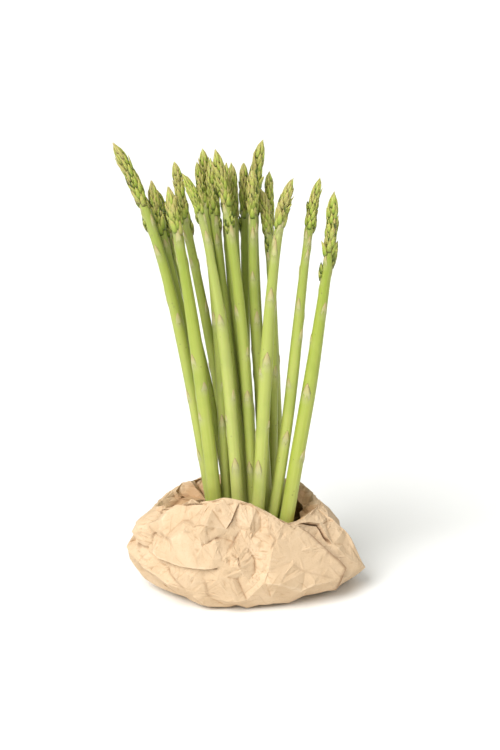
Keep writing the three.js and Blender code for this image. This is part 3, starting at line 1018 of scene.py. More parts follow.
@dataclass(frozen=True)
class FrontCamera:
    """The camera that looks at the bundle from the front and a little above.

    Attributes:
        place: where it stands.
        pitch: how far down it looks, in degrees.
        lens: focal length.
        sensor: the sensor's side along the long side of the picture.
        frame: width and height of its picture.
        nearest, farthest: the distances between which it sees.
    """

    place: tuple[float, float, float] = (1.9, -860.7, 400.8)
    pitch: float = 17.0
    lens: float = 72.0
    sensor: float = 36.0
    frame: tuple[int, int] = (500, 750)
    nearest: float = 10.0
    farthest: float = 100000.0

    def ahead(self) -> Array:
        """The direction that it looks in."""
        tilt = math.radians(self.pitch)
        return np.array([0.0, math.cos(tilt), -math.sin(tilt)])

    def seen_at(self, places: Array) -> Array:
        """Where places show in the picture: away from its middle by focal length * offset / depth.

        Args:
            places: (..., 3).

        Returns:
            (..., 2), across and down.
        """
        tilt = math.radians(self.pitch)
        up = np.array([0.0, math.sin(tilt), math.cos(tilt)])
        away = places - np.array(self.place)
        focal = self.lens / self.sensor * max(self.frame)
        depth = away @ self.ahead()
        across = self.frame[0] / 2 + focal * away[..., 0] / depth
        down = self.frame[1] / 2 - focal * (away @ up) / depth
        return np.stack([across, down], axis=-1)

    def build(self) -> None:
        """Makes the camera and gives it to the scene."""
        data = bpy.data.cameras.new("front_camera")
        data.lens = self.lens
        data.sensor_width = self.sensor
        data.clip_start = self.nearest * METRES
        data.clip_end = self.farthest * METRES
        camera = bpy.data.objects.new("front_camera", data)
        camera.location = [value * METRES for value in self.place]
        camera.rotation_euler = (math.radians(90.0 - self.pitch), 0.0, 0.0)
        bpy.context.scene.collection.objects.link(camera)
        bpy.context.scene.camera = camera


class Sheet:
    """The bag's smooth sheet as a flat map: how far round from the back, and how far up from the underside.

    Attributes:
        places: (rows, columns, 3), a grid that closes round its second axis.
        normals: (rows, columns, 3), the unit normals: the step round crossed with the step up.
        width: the map's width, WIDTH_SHARE of the longest way round.
        rise: (rows,), how far up the map each row is: the sum of the mean steps up to it.
    """

    WIDTH_SHARE = 0.85

    def __init__(self, places: Array) -> None:
        """Measures the grid.

        Args:
            places: (rows, columns, 3).
        """
        self.places = places
        padded = np.concatenate([places[:, -1:], places, places[:, :1]], axis=1)
        normals = np.cross((padded[:, 2:] - padded[:, :-2]) / 2, np.gradient(places, axis=0))
        self.normals = normals / np.maximum(np.linalg.norm(normals, axis=-1, keepdims=True), 1e-9)
        way_round = np.linalg.norm(np.diff(padded[:, 1:], axis=1), axis=-1).sum(axis=1)
        self.width = self.WIDTH_SHARE * float(way_round.max())
        steps = np.linalg.norm(np.diff(places, axis=0), axis=-1).mean(axis=1)
        self.rise = np.concatenate([[0.0], np.cumsum(steps)])

    def flat_grid(self) -> Array:
        """The flat places of the grid's points.

        Returns:
            (rows, columns, 2).
        """
        columns = self.places.shape[1]
        round_way = np.arange(columns) / columns * self.width
        return np.stack(np.broadcast_arrays(round_way[None], self.rise[:, None]), axis=-1)

    def at(self, flat: Array) -> tuple[Array, Array]:
        """Places and normals at flat places, mixed from the four grid points round each.

        Args:
            flat: (n, 2).

        Returns:
            Places (n, 3) and unit normals (n, 3).
        """
        rows, columns = self.places.shape[:2]
        column = flat[:, 0] / self.width * columns
        row = np.clip(np.interp(flat[:, 1], self.rise, np.arange(rows)), 0, rows - 1.001)
        left, low = np.floor(column).astype(int), np.floor(row).astype(int)
        right_share, up_share = (column - left)[:, None], (row - low)[:, None]
        result = []
        for grid in (self.places, self.normals):
            below = blend(grid[low, left % columns], grid[low, (left + 1) % columns], right_share)
            above = blend(grid[low + 1, left % columns], grid[low + 1, (left + 1) % columns], right_share)
            result.append(blend(below, above, up_share))
        return result[0], result[1] / np.linalg.norm(result[1], axis=-1, keepdims=True)


@dataclass
class Facets:
    """A triangle mesh of the crumpled sheet.

    Attributes:
        flat: (n, 2), flat places.
        places: (n, 3).
        faces: (m, 3).
    """

    flat: Array
    places: Array
    faces: Array

    def edges(self) -> tuple[Array, Array]:
        """The mesh's edges.

        Returns:
            The edges' ends (k, 2), and the three edges of each face, from its first corner on (m, 3).
        """
        ends = np.sort(self.faces[:, [0, 1, 1, 2, 2, 0]].reshape(-1, 2), axis=1)
        edges, number = np.unique(ends, axis=0, return_inverse=True)
        return edges, number.reshape(-1, 3)

    def normals(self) -> Array:
        """Unit normals of the points: the sum of the normals of the faces round each, by their area.

        Returns:
            (n, 3).
        """
        corner = self.places[self.faces]
        face = np.cross(corner[:, 1] - corner[:, 0], corner[:, 2] - corner[:, 0])
        total = np.zeros_like(self.places)
        for side in range(3):
            np.add.at(total, self.faces[:, side], face)
        return total / np.maximum(np.linalg.norm(total, axis=1, keepdims=True), 1e-9)


@dataclass
class Nearness:
    """Where points are against a path.

    Attributes:
        distance: how far each point is from the path.
        side: 1 on the left of the path's nearest stretch, -1 on its right.
        leftward: (n, 2), the direction across that stretch to its left.
        to_end: how far the nearest place is from the path's nearer end, along it.
    """

    distance: Array
    side: Array
    leftward: Array
    to_end: Array


def nearness(flat: Array, path: Array) -> Nearness:
    """Measures points against a path of straight stretches, by each point's foot on the nearest of them.

    Args:
        flat: (n, 2).
        path: (k, 2).

    Returns:
        Where the points are.
    """
    run = np.diff(path, axis=0)
    length = np.linalg.norm(run, axis=1)
    away = flat[:, None] - path[None, :-1]
    share = np.clip((away * run).sum(axis=-1) / length**2, 0.0, 1.0)
    off = away - share[..., None] * run
    distance = np.linalg.norm(off, axis=-1)
    best = distance.argmin(axis=1)
    row = np.arange(len(flat))
    side = np.sign(run[best, 0] * away[row, best, 1] - run[best, 1] * away[row, best, 0])
    leftward = np.stack([-run[best, 1], run[best, 0]], axis=1) / length[best, None]
    along = (np.cumsum(length) - length)[best] + share[row, best] * length[best]
    return Nearness(distance[row, best], side, leftward, np.minimum(along, length.sum() - along))


@dataclass(frozen=True)
class Folds:
    """The folds of the sheet on its flat map.

    Attributes:
        creases: path (k, 2), height and reach of each.
        laps: path (k, 2) and form of each.
    """

    creases: list[tuple[Array, float, float]]
    laps: list[tuple[Array, Lap]]


def stepped(path: Array, step: float) -> Array:
    """The path with points added, evenly on each stretch.

    Args:
        path: (k, 2).
        step: the most that two points in a row may be apart.

    Returns:
        (n, 2).
    """
    lengths = np.linalg.norm(np.diff(path, axis=0), axis=1)
    stations = np.concatenate([[0.0], np.cumsum(lengths)])
    parts = [
        np.linspace(start, end, max(int(np.ceil((end - start) / step)), 1), endpoint=False)
        for start, end in zip(stations[:-1], stations[1:])
    ]
    wanted = np.concatenate([*parts, stations[-1:]])
    return np.stack([np.interp(wanted, stations, path[:, axis]) for axis in (0, 1)], axis=-1)


@dataclass
class PaperBag:
    """The crumpled bag: a sheet from its flat underside up to the lip, over it, and down to the floor inside.

    The levels are knots of closed curves round the bag. The sheet between them is cut into facets along
    creases and between scattered sites, and the facets are halved again and again with ever smaller
    creases.

    Attributes:
        camera: the front camera, whose frame the front's folds are drawn in.
        foot, heel, belly, shoulder, lip: the levels of the outside, from the flat underside up.
        mouth: the level inside the lip where the bag is narrowest.
        wall: how far the floor inside is over the underside.
        columns, rows: points of the smooth sheet's grid on its way round and up.
        facet: the usual size of a first facet.
        ring_corners: corners of each row round the sheet.
        site_push: how far a scattered corner is usually pushed in or out.
        long_creases: how many long creases are drawn at random.
        halving_push: how far the middles are usually pushed at each halving.
        roundness: how far a middle goes back to the smooth sheet at each halving.
        clear_of_folds: the least distance from a random crease to a fold.
        clear_of_corners: the least distance from a scattered corner to a fold or ring.
        seam_width: how much of the map is repeated past each side of its seam.
        sharp: the angle in degrees over which an edge is a sharp crease.
        seed: starts the random draws.
        draw: random draws.
        sheet: the smooth sheet.
        levels: how far up the sheet each named level is.
        folds: the sheet's folds.
    """

    camera: FrontCamera
    foot: Level = Level((41, 36, 30, 40, 50, 36, 28, 26), (0,) * 8)
    heel: Level = Level((66, 50, 41, 51, 66, 46, 37, 40), (4.4, 3.4, 3.6, 4.5, 8.0, 5.5, 3.0, 3.6))
    belly: Level = Level((75, 61, 49, 60, 73, 58, 43, 51), (11.5, 17, 18, 20, 22, 17, 15, 18))
    shoulder: Level = Level((61, 53, 43, 55, 70, 55, 39, 46), (38, 42, 43, 46, 44, 47, 43, 36))
    lip: Level = Level((43, 43, 34, 42, 57, 42, 32, 37), (55, 59, 61, 61, 54, 70, 69, 54))
    mouth: Level = Level((36, 35, 30, 32, 38, 35, 28, 31), (49, 53, 56, 54, 49, 63, 64, 49))
    wall: float = 1.2
    columns: int = 240
    rows: int = 166
    facet: float = 19.0
    ring_corners: int = 36
    site_push: float = 2.3
    long_creases: int = 26
    halving_push: tuple[float, ...] = (0.5, 0.18, 0.05)
    roundness: float = 0.15
    clear_of_folds: float = 9.0
    clear_of_corners: float = 3.6
    seam_width: float = 45.0
    sharp: float = 5.5
    seed: int = 5
    draw: np.random.Generator = field(init=False)
    sheet: Sheet = field(init=False)
    levels: dict[str, float] = field(init=False)
    folds: Folds = field(init=False)

    CREASE_STEP = 8.0  # the most that two corners on a crease are apart
    LAP_STEP = 7.0  # the most that two corners on a lap are apart
    BESIDE_LAP = (0.5, -0.5, -2.1)  # how far left of a lap its edge, the groove and the paper past it are
    LOOSE_REACH = 11.0  # how far from a loose crease the paper rises or sinks
    UNDER_REACH = 8.0  # how far from a lap the paper under it sinks in
    MOST_PUSH = 3.2  # the most that a scattered corner is pushed
    SQUEEZE = 26.0  # how far apart the spots are where the paper is creased more
    SQUEEZE_SEED = 41
    MAP_LENGTH = 330.0  # how much of the sheet one turn of the UV map takes

    def __post_init__(self) -> None:
        """Starts the random draws, and makes the smooth sheet and its folds."""
        self.draw = np.random.default_rng(self.seed)
        self.sheet, self.levels = self.smooth_sheet()
        self.folds = self.all_folds()

    def smooth_sheet(self) -> tuple[Sheet, dict[str, float]]:
        """The smooth sheet: closed curves through each level's knots, and curves up the bag through those.

        Returns:
            The sheet, and how far up it each named level is.
        """
        foot, heel, belly, shoulder, lip, mouth = (
            level.knots() for level in (self.foot, self.heel, self.belly, self.shoulder, self.lip, self.mouth)
        )
        up = np.array([0.0, 0.0, 1.0])
        drawn_in = np.array([0.93, 0.93, 1.0])
        levels = {
            "foot": foot,
            "heel": heel,
            "belly": belly,
            "shoulder": shoulder,
            "under_lip": blend(lip, shoulder, 0.12),
            "lip": lip,
            "inside_lip": blend(lip, mouth, 0.22),
            "mouth": mouth,
            "throat": mouth * np.array([1.03, 1.03, 1.0]) - 6.0 * up,
            "inner_shoulder": blend(shoulder, mouth, 0.25) * drawn_in - 9.0 * up,
            "inner_belly": belly * np.array([0.88, 0.88, 0.9]),
            "inner_floor": foot * 0.93 + self.wall * up,
        }
        from_back = np.arange(self.columns) / self.columns * 8.0 + 2.0
        rings = np.stack([spline(level, from_back, closed=True) for level in levels.values()])
        rise = np.linspace(0.0, len(levels) - 1.0, self.rows)
        sheet = Sheet(spline(rings, rise, closed=False))
        return sheet, {name: float(np.interp(number, rise, sheet.rise)) for number, name in enumerate(levels)}

    def traced(self, path: Path, inside: bool = False) -> Array:
        """The flat places of a path in the front camera's frame: the nearest grid points in view.

        Args:
            path: across and down in the frame.
            inside: whether the path is on the bag's inside.

        Returns:
            (k, 2).
        """
        seen = self.camera.seen_at(self.sheet.places)
        facing = self.sheet.normals @ self.camera.ahead() < 0.05
        past_lip = self.sheet.rise[:, None] > self.levels["lip"]
        seen = np.where((facing & (past_lip == inside))[..., None], seen, np.inf)
        flat = self.sheet.flat_grid().reshape(-1, 2)
        away = seen.reshape(-1, 2)[None] - np.array(path, dtype=float)[:, None]
        return flat[(away**2).sum(axis=-1).argmin(axis=1)]

    def loose_creases(self) -> list[tuple[Array, float, float]]:
        """Long, slightly bent creases of four stretches, anywhere on the sheet but near the map's seam.

        Returns:
            Path, height and reach of each.
        """
        draw, width, top = self.draw, self.sheet.width, self.sheet.rise[-1]
        creases = []
        for _ in range(self.long_creases):
            start = np.array([draw.uniform(25.0, width - 25.0), draw.uniform(8.0, top - 12.0)])
            turn = draw.uniform(0.0, np.pi) + np.cumsum(draw.normal(0.0, 0.22, 4))
            steps = draw.uniform(6.0, 11.0) * np.stack([np.cos(turn), np.sin(turn)], axis=1)
            path = start + np.concatenate([[[0.0, 0.0]], np.cumsum(steps, axis=0)])
            path = np.clip(path, [20.0, 5.0], [width - 20.0, top - 8.0])
            if np.linalg.norm(np.diff(path, axis=0), axis=1).min() > 2.0:
                height = draw.choice([-1.0, 1.0]) * draw.uniform(1.0, 2.2)
                creases.append((path, height, self.LOOSE_REACH))
        return creases

    def all_folds(self) -> Folds:
        """The front's creases and laps, and the loose creases that are clear of them.

        Returns:
            The sheet's folds.
        """
        folds = Folds(
            creases=[(self.traced(one.path, one.inside), one.height, one.reach) for one in CREASES],
            laps=[(self.traced(lap.path), lap) for lap in LAPS],
        )
        taken = [path for path, _, _ in folds.creases] + [path for path, _ in folds.laps]
        for path, height, reach in self.loose_creases():
            if min(nearness(path, other).distance.min() for other in taken) > self.clear_of_folds:
                folds.creases.append((path, height, reach))
        return folds

    def build(self, material: Material) -> Object:
        """Makes the bag in the place of its node.

        Args:
            material: the paper's finish.

        Returns:
            The bag.
        """
        facets = self.pushed(*self.cut())
        for push in self.halving_push:
            facets = self.halved(facets, push)
        piece = self.finished(facets, material)
        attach(piece, "root")
        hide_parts("paper_bag")
        LOG.info("%s: %d faces", piece.name, len(piece.data.polygons))
        return piece

    def fold_lines(self) -> list[Array]:
        """The lines that the facets must keep: each crease, and three lines beside each lap.

        Returns:
            (n, 2) for each line.
        """
        lines = [stepped(path, self.CREASE_STEP) for path, _, _ in self.folds.creases]
        for path, _ in self.folds.laps:
            run = np.gradient(path, axis=0)
            left = np.stack([-run[:, 1], run[:, 0]], axis=1) / np.linalg.norm(run, axis=1, keepdims=True)
            lines += [stepped(path + beside * left, self.LAP_STEP) for beside in self.BESIDE_LAP]
        return lines

    def rings(self) -> list[Array]:
        """Rows of corners round the sheet: at its ends, heel, lip and mouth, each a little uneven.

        Returns:
            (n, 2) for each row.
        """
        width = self.sheet.width
        across = np.arange(0.0, width, width / self.ring_corners)
        sways = (
            (0.0, 0.0),
            (self.levels["heel"], 0.8),
            (self.levels["under_lip"], 1.0),
            (self.levels["lip"], 1.2),
            (self.levels["mouth"], 2.0),
            (self.sheet.rise[-1], 0.0),
        )
        rows = []
        for level, sway in sways:
            aside = self.draw.uniform(-2.0, 2.0, len(across)) * (sway > 0)
            up = level + sway * self.draw.uniform(-1, 1, len(across))
            rows.append(np.stack([across + aside, up], axis=1))
        return rows

    def sites(self, fixed: Array) -> Array:
        """Scattered corners: one in each cell of a loose grid and more in busy patches, clear of fixed ones.

        Args:
            fixed: (n, 2), the corners of folds and rings.

        Returns:
            (m, 2).
        """
        draw, width, top = self.draw, self.sheet.width, self.sheet.rise[-1]
        round_count = int(round(width / self.facet))
        rows = np.arange(10.0, top - 6.0, self.facet * 0.82)
        grid = np.stack(np.meshgrid(np.arange(round_count) + 0.5, rows), axis=-1).reshape(-1, 2)
        grid[:, 0] *= width / round_count
        places = [grid + draw.uniform(-0.38, 0.38, grid.shape) * self.facet]
        for patch in BUSY:
            middle = self.traced((patch.middle,), patch.inside)[0]
            angle = draw.uniform(0, 2 * np.pi, patch.sites)
            far = 0.6 * patch.radius * np.sqrt(draw.uniform(0, 1, patch.sites))
            places.append(middle + np.stack([far * np.cos(angle), far * np.sin(angle)], axis=1))
        sites = np.concatenate(places)
        clear = np.linalg.norm(sites[:, None] - fixed[None], axis=-1).min(axis=1) > self.clear_of_corners
        return sites[clear & (sites[:, 1] > 4.0) & (sites[:, 1] < top - 4.0)]

    def cut(self) -> tuple[Array, Array]:
        """Cuts the flat map into triangles that keep every fold line, and that close round the map's seam.

        The corners near either side of the map are repeated past the other side, and of all the triangles
        those are kept whose middle is on the map. Where two lines cross, a corner is added.

        Returns:
            Corners (n, 2) and triangles (m, 3).
        """
        width = self.sheet.width
        rows = self.fold_lines() + self.rings()
        fixed = np.concatenate(rows)
        points = np.concatenate([fixed, self.sites(fixed)])
        points[:, 0] %= width
        edges = []
        start = 0
        for row in rows:
            steps = np.arange(start, start + len(row) - 1)
            on_map = np.abs(np.diff(points[start:start + len(row), 0])) < width / 2
            edges += [(int(step), int(step) + 1) for step in steps[on_map]]
            start += len(row)
        left, right = points[:, 0] < self.seam_width, points[:, 0] > width - self.seam_width
        round_once = np.array([width, 0.0])
        tiled = np.concatenate([points, points[left] + round_once, points[right] - round_once])
        home = np.arange(len(points))
        home = np.concatenate([home, home[left], home[right]])
        corners = [Vector(place) for place in tiled]
        found, _, triangles, origins, _, _ = delaunay_2d_cdt(corners, edges, [], 0, 1e-4)
        found = np.array([tuple(place) for place in found])
        crossing = np.array([not origin for origin in origins])
        number = np.where(crossing, len(points) + np.cumsum(crossing) - 1, 0)
        number[~crossing] = home[[origin[0] for origin in origins if origin]]
        triangles = np.array(triangles)
        middle = found[triangles].mean(axis=1)
        faces = number[triangles[(middle[:, 0] >= 0.0) & (middle[:, 0] < width)]]
        whole = (faces != np.roll(faces, 1, axis=1)).all(axis=1)
        return np.concatenate([points, found[crossing]]), faces[whole]

    def pushed(self, flat: Array, faces: Array) -> Facets:
        """Pushes the first facets' corners in or out of the smooth sheet.

        A crease lifts its surroundings like a tent. A lap lifts the paper on its left, slides its edge over
        the paper on its right, and sinks that, most of all right under the edge. The other corners are
        pushed at random, less in calm patches and more in busy ones.

        Args:
            flat: (n, 2), the corners.
            faces: (m, 3).

        Returns:
            The facets in space.
        """
        lift = np.zeros(len(flat))
        slide = np.zeros_like(flat)
        nearest = np.full(len(flat), np.inf)
        for path, height, reach in self.folds.creases:
            near = nearness(flat, path)
            lift += height * np.clip(1.0 - near.distance / reach, 0.0, 1.0)
            nearest = np.minimum(nearest, near.distance)
        for path, lap in self.folds.laps:
            near = nearness(flat, path)
            taper = np.clip(near.to_end / (5.0 + near.distance), 0.0, 1.0)
            over = lap.over * np.clip(1.0 - near.distance / lap.reach, 0.0, 1.0)
            under = lap.under * np.clip(1.0 - near.distance / self.UNDER_REACH, 0.0, 1.0)
            under = under + lap.groove * (near.distance < 1.0)
            lift += np.where(near.side > 0, over, -under) * taper
            pull = lap.overhang * smooth(near.distance, 6.0, 0.6) * taper * (near.side > 0)
            slide -= pull[:, None] * near.leftward
            nearest = np.minimum(nearest, near.distance)
        places, normals = self.sheet.at(flat + slide)
        calm = self.patches(CALM, places, normals)
        busy = self.patches(BUSY, places, normals)
        loose = self.draw.normal(0.0, self.site_push, len(flat)).clip(-self.MOST_PUSH, self.MOST_PUSH)
        near_lip = np.clip(np.abs(flat[:, 1] - self.levels["lip"]) / 12.0, 0.35, 1.0)
        lift += loose * smooth(nearest, 1.0, 9.0) * near_lip * (1.0 - 0.6 * calm + busy)
        lift *= smooth(flat[:, 1], 0.0, self.levels["heel"] + 12.0)
        lift *= smooth(self.sheet.rise[-1] - flat[:, 1], 0.0, 12.0)
        return Facets(flat, places + normals * lift[:, None], faces)

    def patches(self, patches: tuple[Patch, ...], places: Array, normals: Array) -> Array:
        """How much each place belongs to round patches of the front: the greatest share, fading at the rims.

        Args:
            patches: the patches.
            places: (n, 3).
            normals: (n, 3).

        Returns:
            (n,), 0 outside the patches and where the sheet faces away.
        """
        seen = self.camera.seen_at(places)
        facing = smooth(-(normals @ self.camera.ahead()), -0.1, 0.2)
        total = np.zeros(len(places))
        for patch in patches:
            away = np.linalg.norm(seen - np.array(patch.middle), axis=-1) / patch.radius
            total = np.maximum(total, patch.share * smooth(away, 1.15, 0.7))
        return total * facing

    def halved(self, facets: Facets, push: float) -> Facets:
        """Cuts every facet in four at its edges' middles, and pushes the middles in or out a little.

        A middle goes part of the way back to the smooth sheet, by roundness, and then by a random push that
        is small nearly everywhere and large now and then, and fades near laps.

        Args:
            facets: the facets so far.
            push: the usual size of the random push.

        Returns:
            The smaller facets.
        """
        sheet, draw = self.sheet, self.draw
        edges, number = facets.edges()
        start, end = facets.flat[edges[:, 0]], facets.flat[edges[:, 1]]
        run = end - start
        run[:, 0] -= sheet.width * np.round(run[:, 0] / sheet.width)
        along = 0.5 + draw.uniform(-0.12, 0.12, len(edges))
        border = np.bincount(number.ravel(), minlength=len(edges)) == 1
        along = np.where(border, 0.5, along)[:, None]
        flat = start + along * run
        flat[:, 0] %= sheet.width
        straight = blend(facets.places[edges[:, 0]], facets.places[edges[:, 1]], along)
        smooth_start, _ = sheet.at(facets.flat[edges[:, 0]])
        smooth_end, _ = sheet.at(facets.flat[edges[:, 1]])
        smooth_here, normals = sheet.at(flat)
        bulge = self.roundness * (smooth_here - blend(smooth_start, smooth_end, along))
        tail = draw.normal(0.0, 1.0, len(edges))
        calm = self.patches(CALM, smooth_here, normals)
        squeezed = smooth(nearest_site(smooth_here, self.SQUEEZE, self.SQUEEZE_SEED), 0.6, 0.1)
        amount = push * tail * np.abs(tail) * blend(0.4, 0.95, squeezed) * (1.0 - 0.8 * calm)
        amount = amount * smooth(flat[:, 1], 6.0, 32.0) * (~border)
        for path, _ in self.folds.laps:
            amount = amount * smooth(nearness(flat, path).distance, 0.5, 5.0)
        middles = straight + bulge + normals * amount.clip(-2.5 * push, 2.5 * push)[:, None]
        base = len(facets.places)
        corner, middle = facets.faces, base + number
        faces = np.concatenate([
            np.stack([corner[:, 0], middle[:, 0], middle[:, 2]], axis=1),
            np.stack([corner[:, 1], middle[:, 1], middle[:, 0]], axis=1),
            np.stack([corner[:, 2], middle[:, 2], middle[:, 1]], axis=1),
            middle,
        ])
        return Facets(np.concatenate([facets.flat, flat]), np.concatenate([facets.places, middles]), faces)

    def fold_share(self, flat: Array) -> Array:
        """How much painted shade a fold gives each place: beside a lap's edge, and in a valley crease.

        Args:
            flat: (n, 2).

        Returns:
            (n,), from 0 to 1.
        """
        share = np.zeros(len(flat))
        for path, lap in self.folds.laps:
            near = nearness(flat, path)
            below = smooth(near.distance, lap.shade, 0.5 * lap.shade)
            above = (lap.rim > 0) * smooth(near.distance, 1.4 * lap.rim, 0.4 * lap.rim - 0.01)
            dark = np.where(near.side < 0, below, above)
            share = np.maximum(share, dark * np.clip(near.to_end / 4.0, 0.0, 1.0))
        for path, height, _ in self.folds.creases:
            near = nearness(flat, path)
            valley = np.clip(-height / 4.0, 0.0, 0.6) * smooth(near.distance, 1.3, 0.2)
            share = np.maximum(share, valley * np.clip(near.to_end / 3.0, 0.0, 1.0))
        return share

    def finished(self, facets: Facets, material: Material) -> Object:
        """Closes the underside and the floor inside with fans, and marks the sharp creases.

        Each point's bend is how far it stands out of the mean of its neighbours: over 0 on ridges, under 0 in
        folds. The finish paints shade where it is low and lightens the paper where it is high.

        Args:
            facets: the crumpled sheet.
            material: the paper's finish.

        Returns:
            The bag.
        """
        lip = self.levels["lip"]
        places = facets.places.copy()
        places[:, 2] = np.maximum(places[:, 2], 0.0)
        edges, number = facets.edges()
        around = np.zeros_like(places)
        for here, there in ((0, 1), (1, 0)):
            np.add.at(around, edges[:, here], places[edges[:, there]])
        count = np.bincount(edges.ravel(), minlength=len(places))[:, None]
        normals = Facets(facets.flat, places, facets.faces).normals()
        bend = ((places - around / np.maximum(count, 1)) * normals).sum(axis=1)
        # 1 past the lip, where the finish paints shade on the bag's inside.
        inside = smooth(facets.flat[:, 1], lip, lip + 5.0)

        on_border = np.bincount(number.ravel(), minlength=len(edges))[number] == 1
        start = facets.faces[on_border]
        end = np.roll(facets.faces, -1, axis=1)[on_border]
        middle = np.where(facets.flat[start, 1] < lip, len(places), len(places) + 1)
        fans = np.stack([end, start, middle], axis=1)
        places = np.concatenate([places, [[0.0, 0.0, 0.0], [0.0, 0.0, self.wall]]])
        # The painted shade that laps and valley creases give each place.
        fold = self.fold_share(facets.flat)
        tone = np.stack([0.5 + 1.2 * bend, inside, fold, np.zeros_like(bend)], axis=1)
        tone = np.concatenate([tone, [[0.5, 0.0, 0.0, 0.0], [0.5, 1.0, 0.0, 0.0]]])
        flow = np.concatenate([facets.flat / self.MAP_LENGTH, [[0.0, 0.0], [0.0, 0.4]]])
        shape = Shape(places, [np.concatenate([facets.faces, fans])], tone, flow)
        piece = make_object("kraft_paper_bag", shape, material)
        piece.data.set_sharp_from_angle(angle=math.radians(self.sharp))
        return piece


# The turned-down cuff's free edge, from the left end to the right.
CUFF_EDGE = (
    (143, 547), (150, 551), (160, 555), (171, 558), (183, 561),
    (194, 564), (204, 566), (213, 567), (219, 564),
)
# The fold that ends the cuff on the right, up to the lip.
CUFF_END = ((226, 530), (229, 521), (233, 513), (239, 502))
# The front panel's outer edge: up its dark fold on the right, then up and left to the mouth.
PANEL_EDGE = (
    (331, 590), (333, 586), (336, 580), (339, 574), (341, 567),
    (330, 558), (319, 547), (308, 536), (298, 526),
)
# The tuck at the bag's left end.
LEFT_TUCK = ((138, 524), (135, 532), (136, 540), (140, 548))
# The edge of the far paper that is turned in behind the panel, from the mouth to the right.
FAR_TUCK = ((300, 522), (308, 522), (318, 523), (323, 528), (328, 537), (332, 544))

# The laps, the creases, and the patches where the front is calmer and busier than the rest.
# Each lap's shade and rim say how far painted shade reaches beside its edge.
LAPS = (
    Lap(CUFF_EDGE, 2.2, 1.2),
    Lap(CUFF_END, 1.6, 2.0, 14.0, 1.4),
    Lap(PANEL_EDGE, 2.4, 2.6, 18.0, 1.6, groove=2.2, shade=1.2, rim=1.4),
    Lap(LEFT_TUCK, 1.6, 2.6, 9.0, 1.2, groove=0.4, shade=5.0),
    Lap(FAR_TUCK, 1.2, 2.2, 9.0, 1.2, groove=1.8, shade=1.5),
)

CREASES = (
    Crease(((197, 524), (186, 532), (175, 540)), 3.0, 9.0),
    Crease(((176, 539), (167, 536), (158, 532)), -1.8, 8.0),
    Crease(((175, 505), (165, 521), (159, 532)), 2.4, 8.0),
    Crease(((175, 502), (169, 505), (163, 510)), -2.2, 6.0),
    Crease(((157, 507), (159, 512), (156, 516)), -2.6, 6.0),
    Crease(((151, 539), (153, 532), (157, 538)), -2.4, 5.0),
    Crease(((183, 519), (190, 522), (197, 527)), -1.6, 7.0),
    Crease(((213, 510), (206, 525), (199, 535)), 2.2, 11.0),
    Crease(((176, 539), (178, 550), (184, 560)), 1.2, 8.0),
    Crease(((224, 539), (214, 538), (205, 545)), -2.0, 8.0),
    Crease(((201, 548), (208, 543), (216, 546)), 1.6, 7.0),
    Crease(((212, 558), (219, 551), (227, 550)), 1.6, 7.0),
    Crease(((227, 552), (234, 542), (240, 532)), -3.0, 8.0),
    Crease(((222, 560), (229, 556), (237, 559), (240, 566)), 1.8, 7.0),
    Crease(((246, 546), (250, 552), (255, 560), (255, 574)), -1.8, 9.0),
    Crease(((239, 581), (243, 590), (247, 600)), -1.5, 8.0),
    Crease(((247, 600), (254, 592), (264, 583)), 1.2, 9.0),
    Crease(((267, 522), (270, 532), (276, 540), (271, 549)), -1.5, 8.0),
    Crease(((277, 540), (270, 560), (266, 582)), 1.6, 14.0),
    Crease(((232, 549), (238, 556), (238, 566)), 1.1, 7.0),
    Crease(((228, 566), (240, 570), (250, 578)), 1.2, 8.0),
    Crease(((165, 566), (170, 575), (176, 583), (185, 594)), -1.8, 9.0),
    Crease(((188, 575), (197, 580), (206, 583), (226, 578)), 1.3, 10.0),
    Crease(((145, 566), (155, 574), (168, 584)), 1.2, 9.0),
    Crease(((134, 540), (140, 546), (148, 548)), -3.0, 6.0),
    Crease(((139, 527), (147, 531), (154, 540), (158, 548)), 1.6, 8.0),
    Crease(((147, 523), (152, 533), (150, 543)), -1.6, 7.0),
    Crease(((290, 562), (298, 566), (306, 571), (331, 578)), -1.1, 11.0),
    Crease(((281, 531), (286, 537), (291, 543)), -0.9, 7.0),
    Crease(((300, 590), (314, 584), (328, 580)), 1.2, 10.0),
    Crease(((319, 503), (327, 517), (333, 522), (348, 539)), 1.9, 9.0),
    Crease(((327, 519), (328, 525), (329, 530)), -1.3, 6.0),
    Crease(((344, 556), (352, 562), (362, 566)), 1.0, 10.0),
    Crease(((211, 601), (208, 592), (205, 580)), -2.0, 7.0),
    Crease(((128, 543), (127, 550), (129, 558)), 0.6, 6.0),
    Crease(((178, 490), (188, 494), (200, 498)), -3.4, 7.0, inside=True),
    Crease(((190, 483), (196, 490), (203, 499)), 3.4, 7.0, inside=True),
    Crease(((196, 480), (201, 487), (206, 495)), -4.0, 6.0, inside=True),
    Crease(((170, 493), (180, 497), (190, 500)), 2.8, 6.0, inside=True),
)

CALM = (
    Patch((200, 535), 38, 0.5),
    Patch((305, 560), 36, 0.8),
    Patch((355, 568), 18, 0.8),
    Patch((250, 598), 22, 0.6),
    Patch((175, 585), 18, 0.4),
)
BUSY = (
    Patch((142, 540), 22, 0.4, 14),
    Patch((253, 552), 24, 0.1, 4),
    Patch((262, 525), 18, 0.0, 5),
    Patch((186, 490), 22, 0.6, 16, inside=True),
    Patch((312, 505), 18, 0.4, 10, inside=True),
)


# ---- Finishes ----


Socket = bpy.types.NodeSocket
Colour = tuple[int, int, int]
Stops = tuple[tuple[float, Colour], ...]


def linear(colour: Colour) -> tuple[float, float, float, float]:
    """A display colour as linear light with an opacity of 1, by the display's curve.

    Args:
        colour: red, green and blue, from 0 to 255.

    Returns:
        Red, green, blue and opacity, from 0 to 1.
    """
    share = np.array(colour) / 255.0
    light = np.where(share <= 0.04045, share / 12.92, ((share + 0.055) / 1.055) ** 2.4)
    return (*(float(value) for value in light), 1.0)


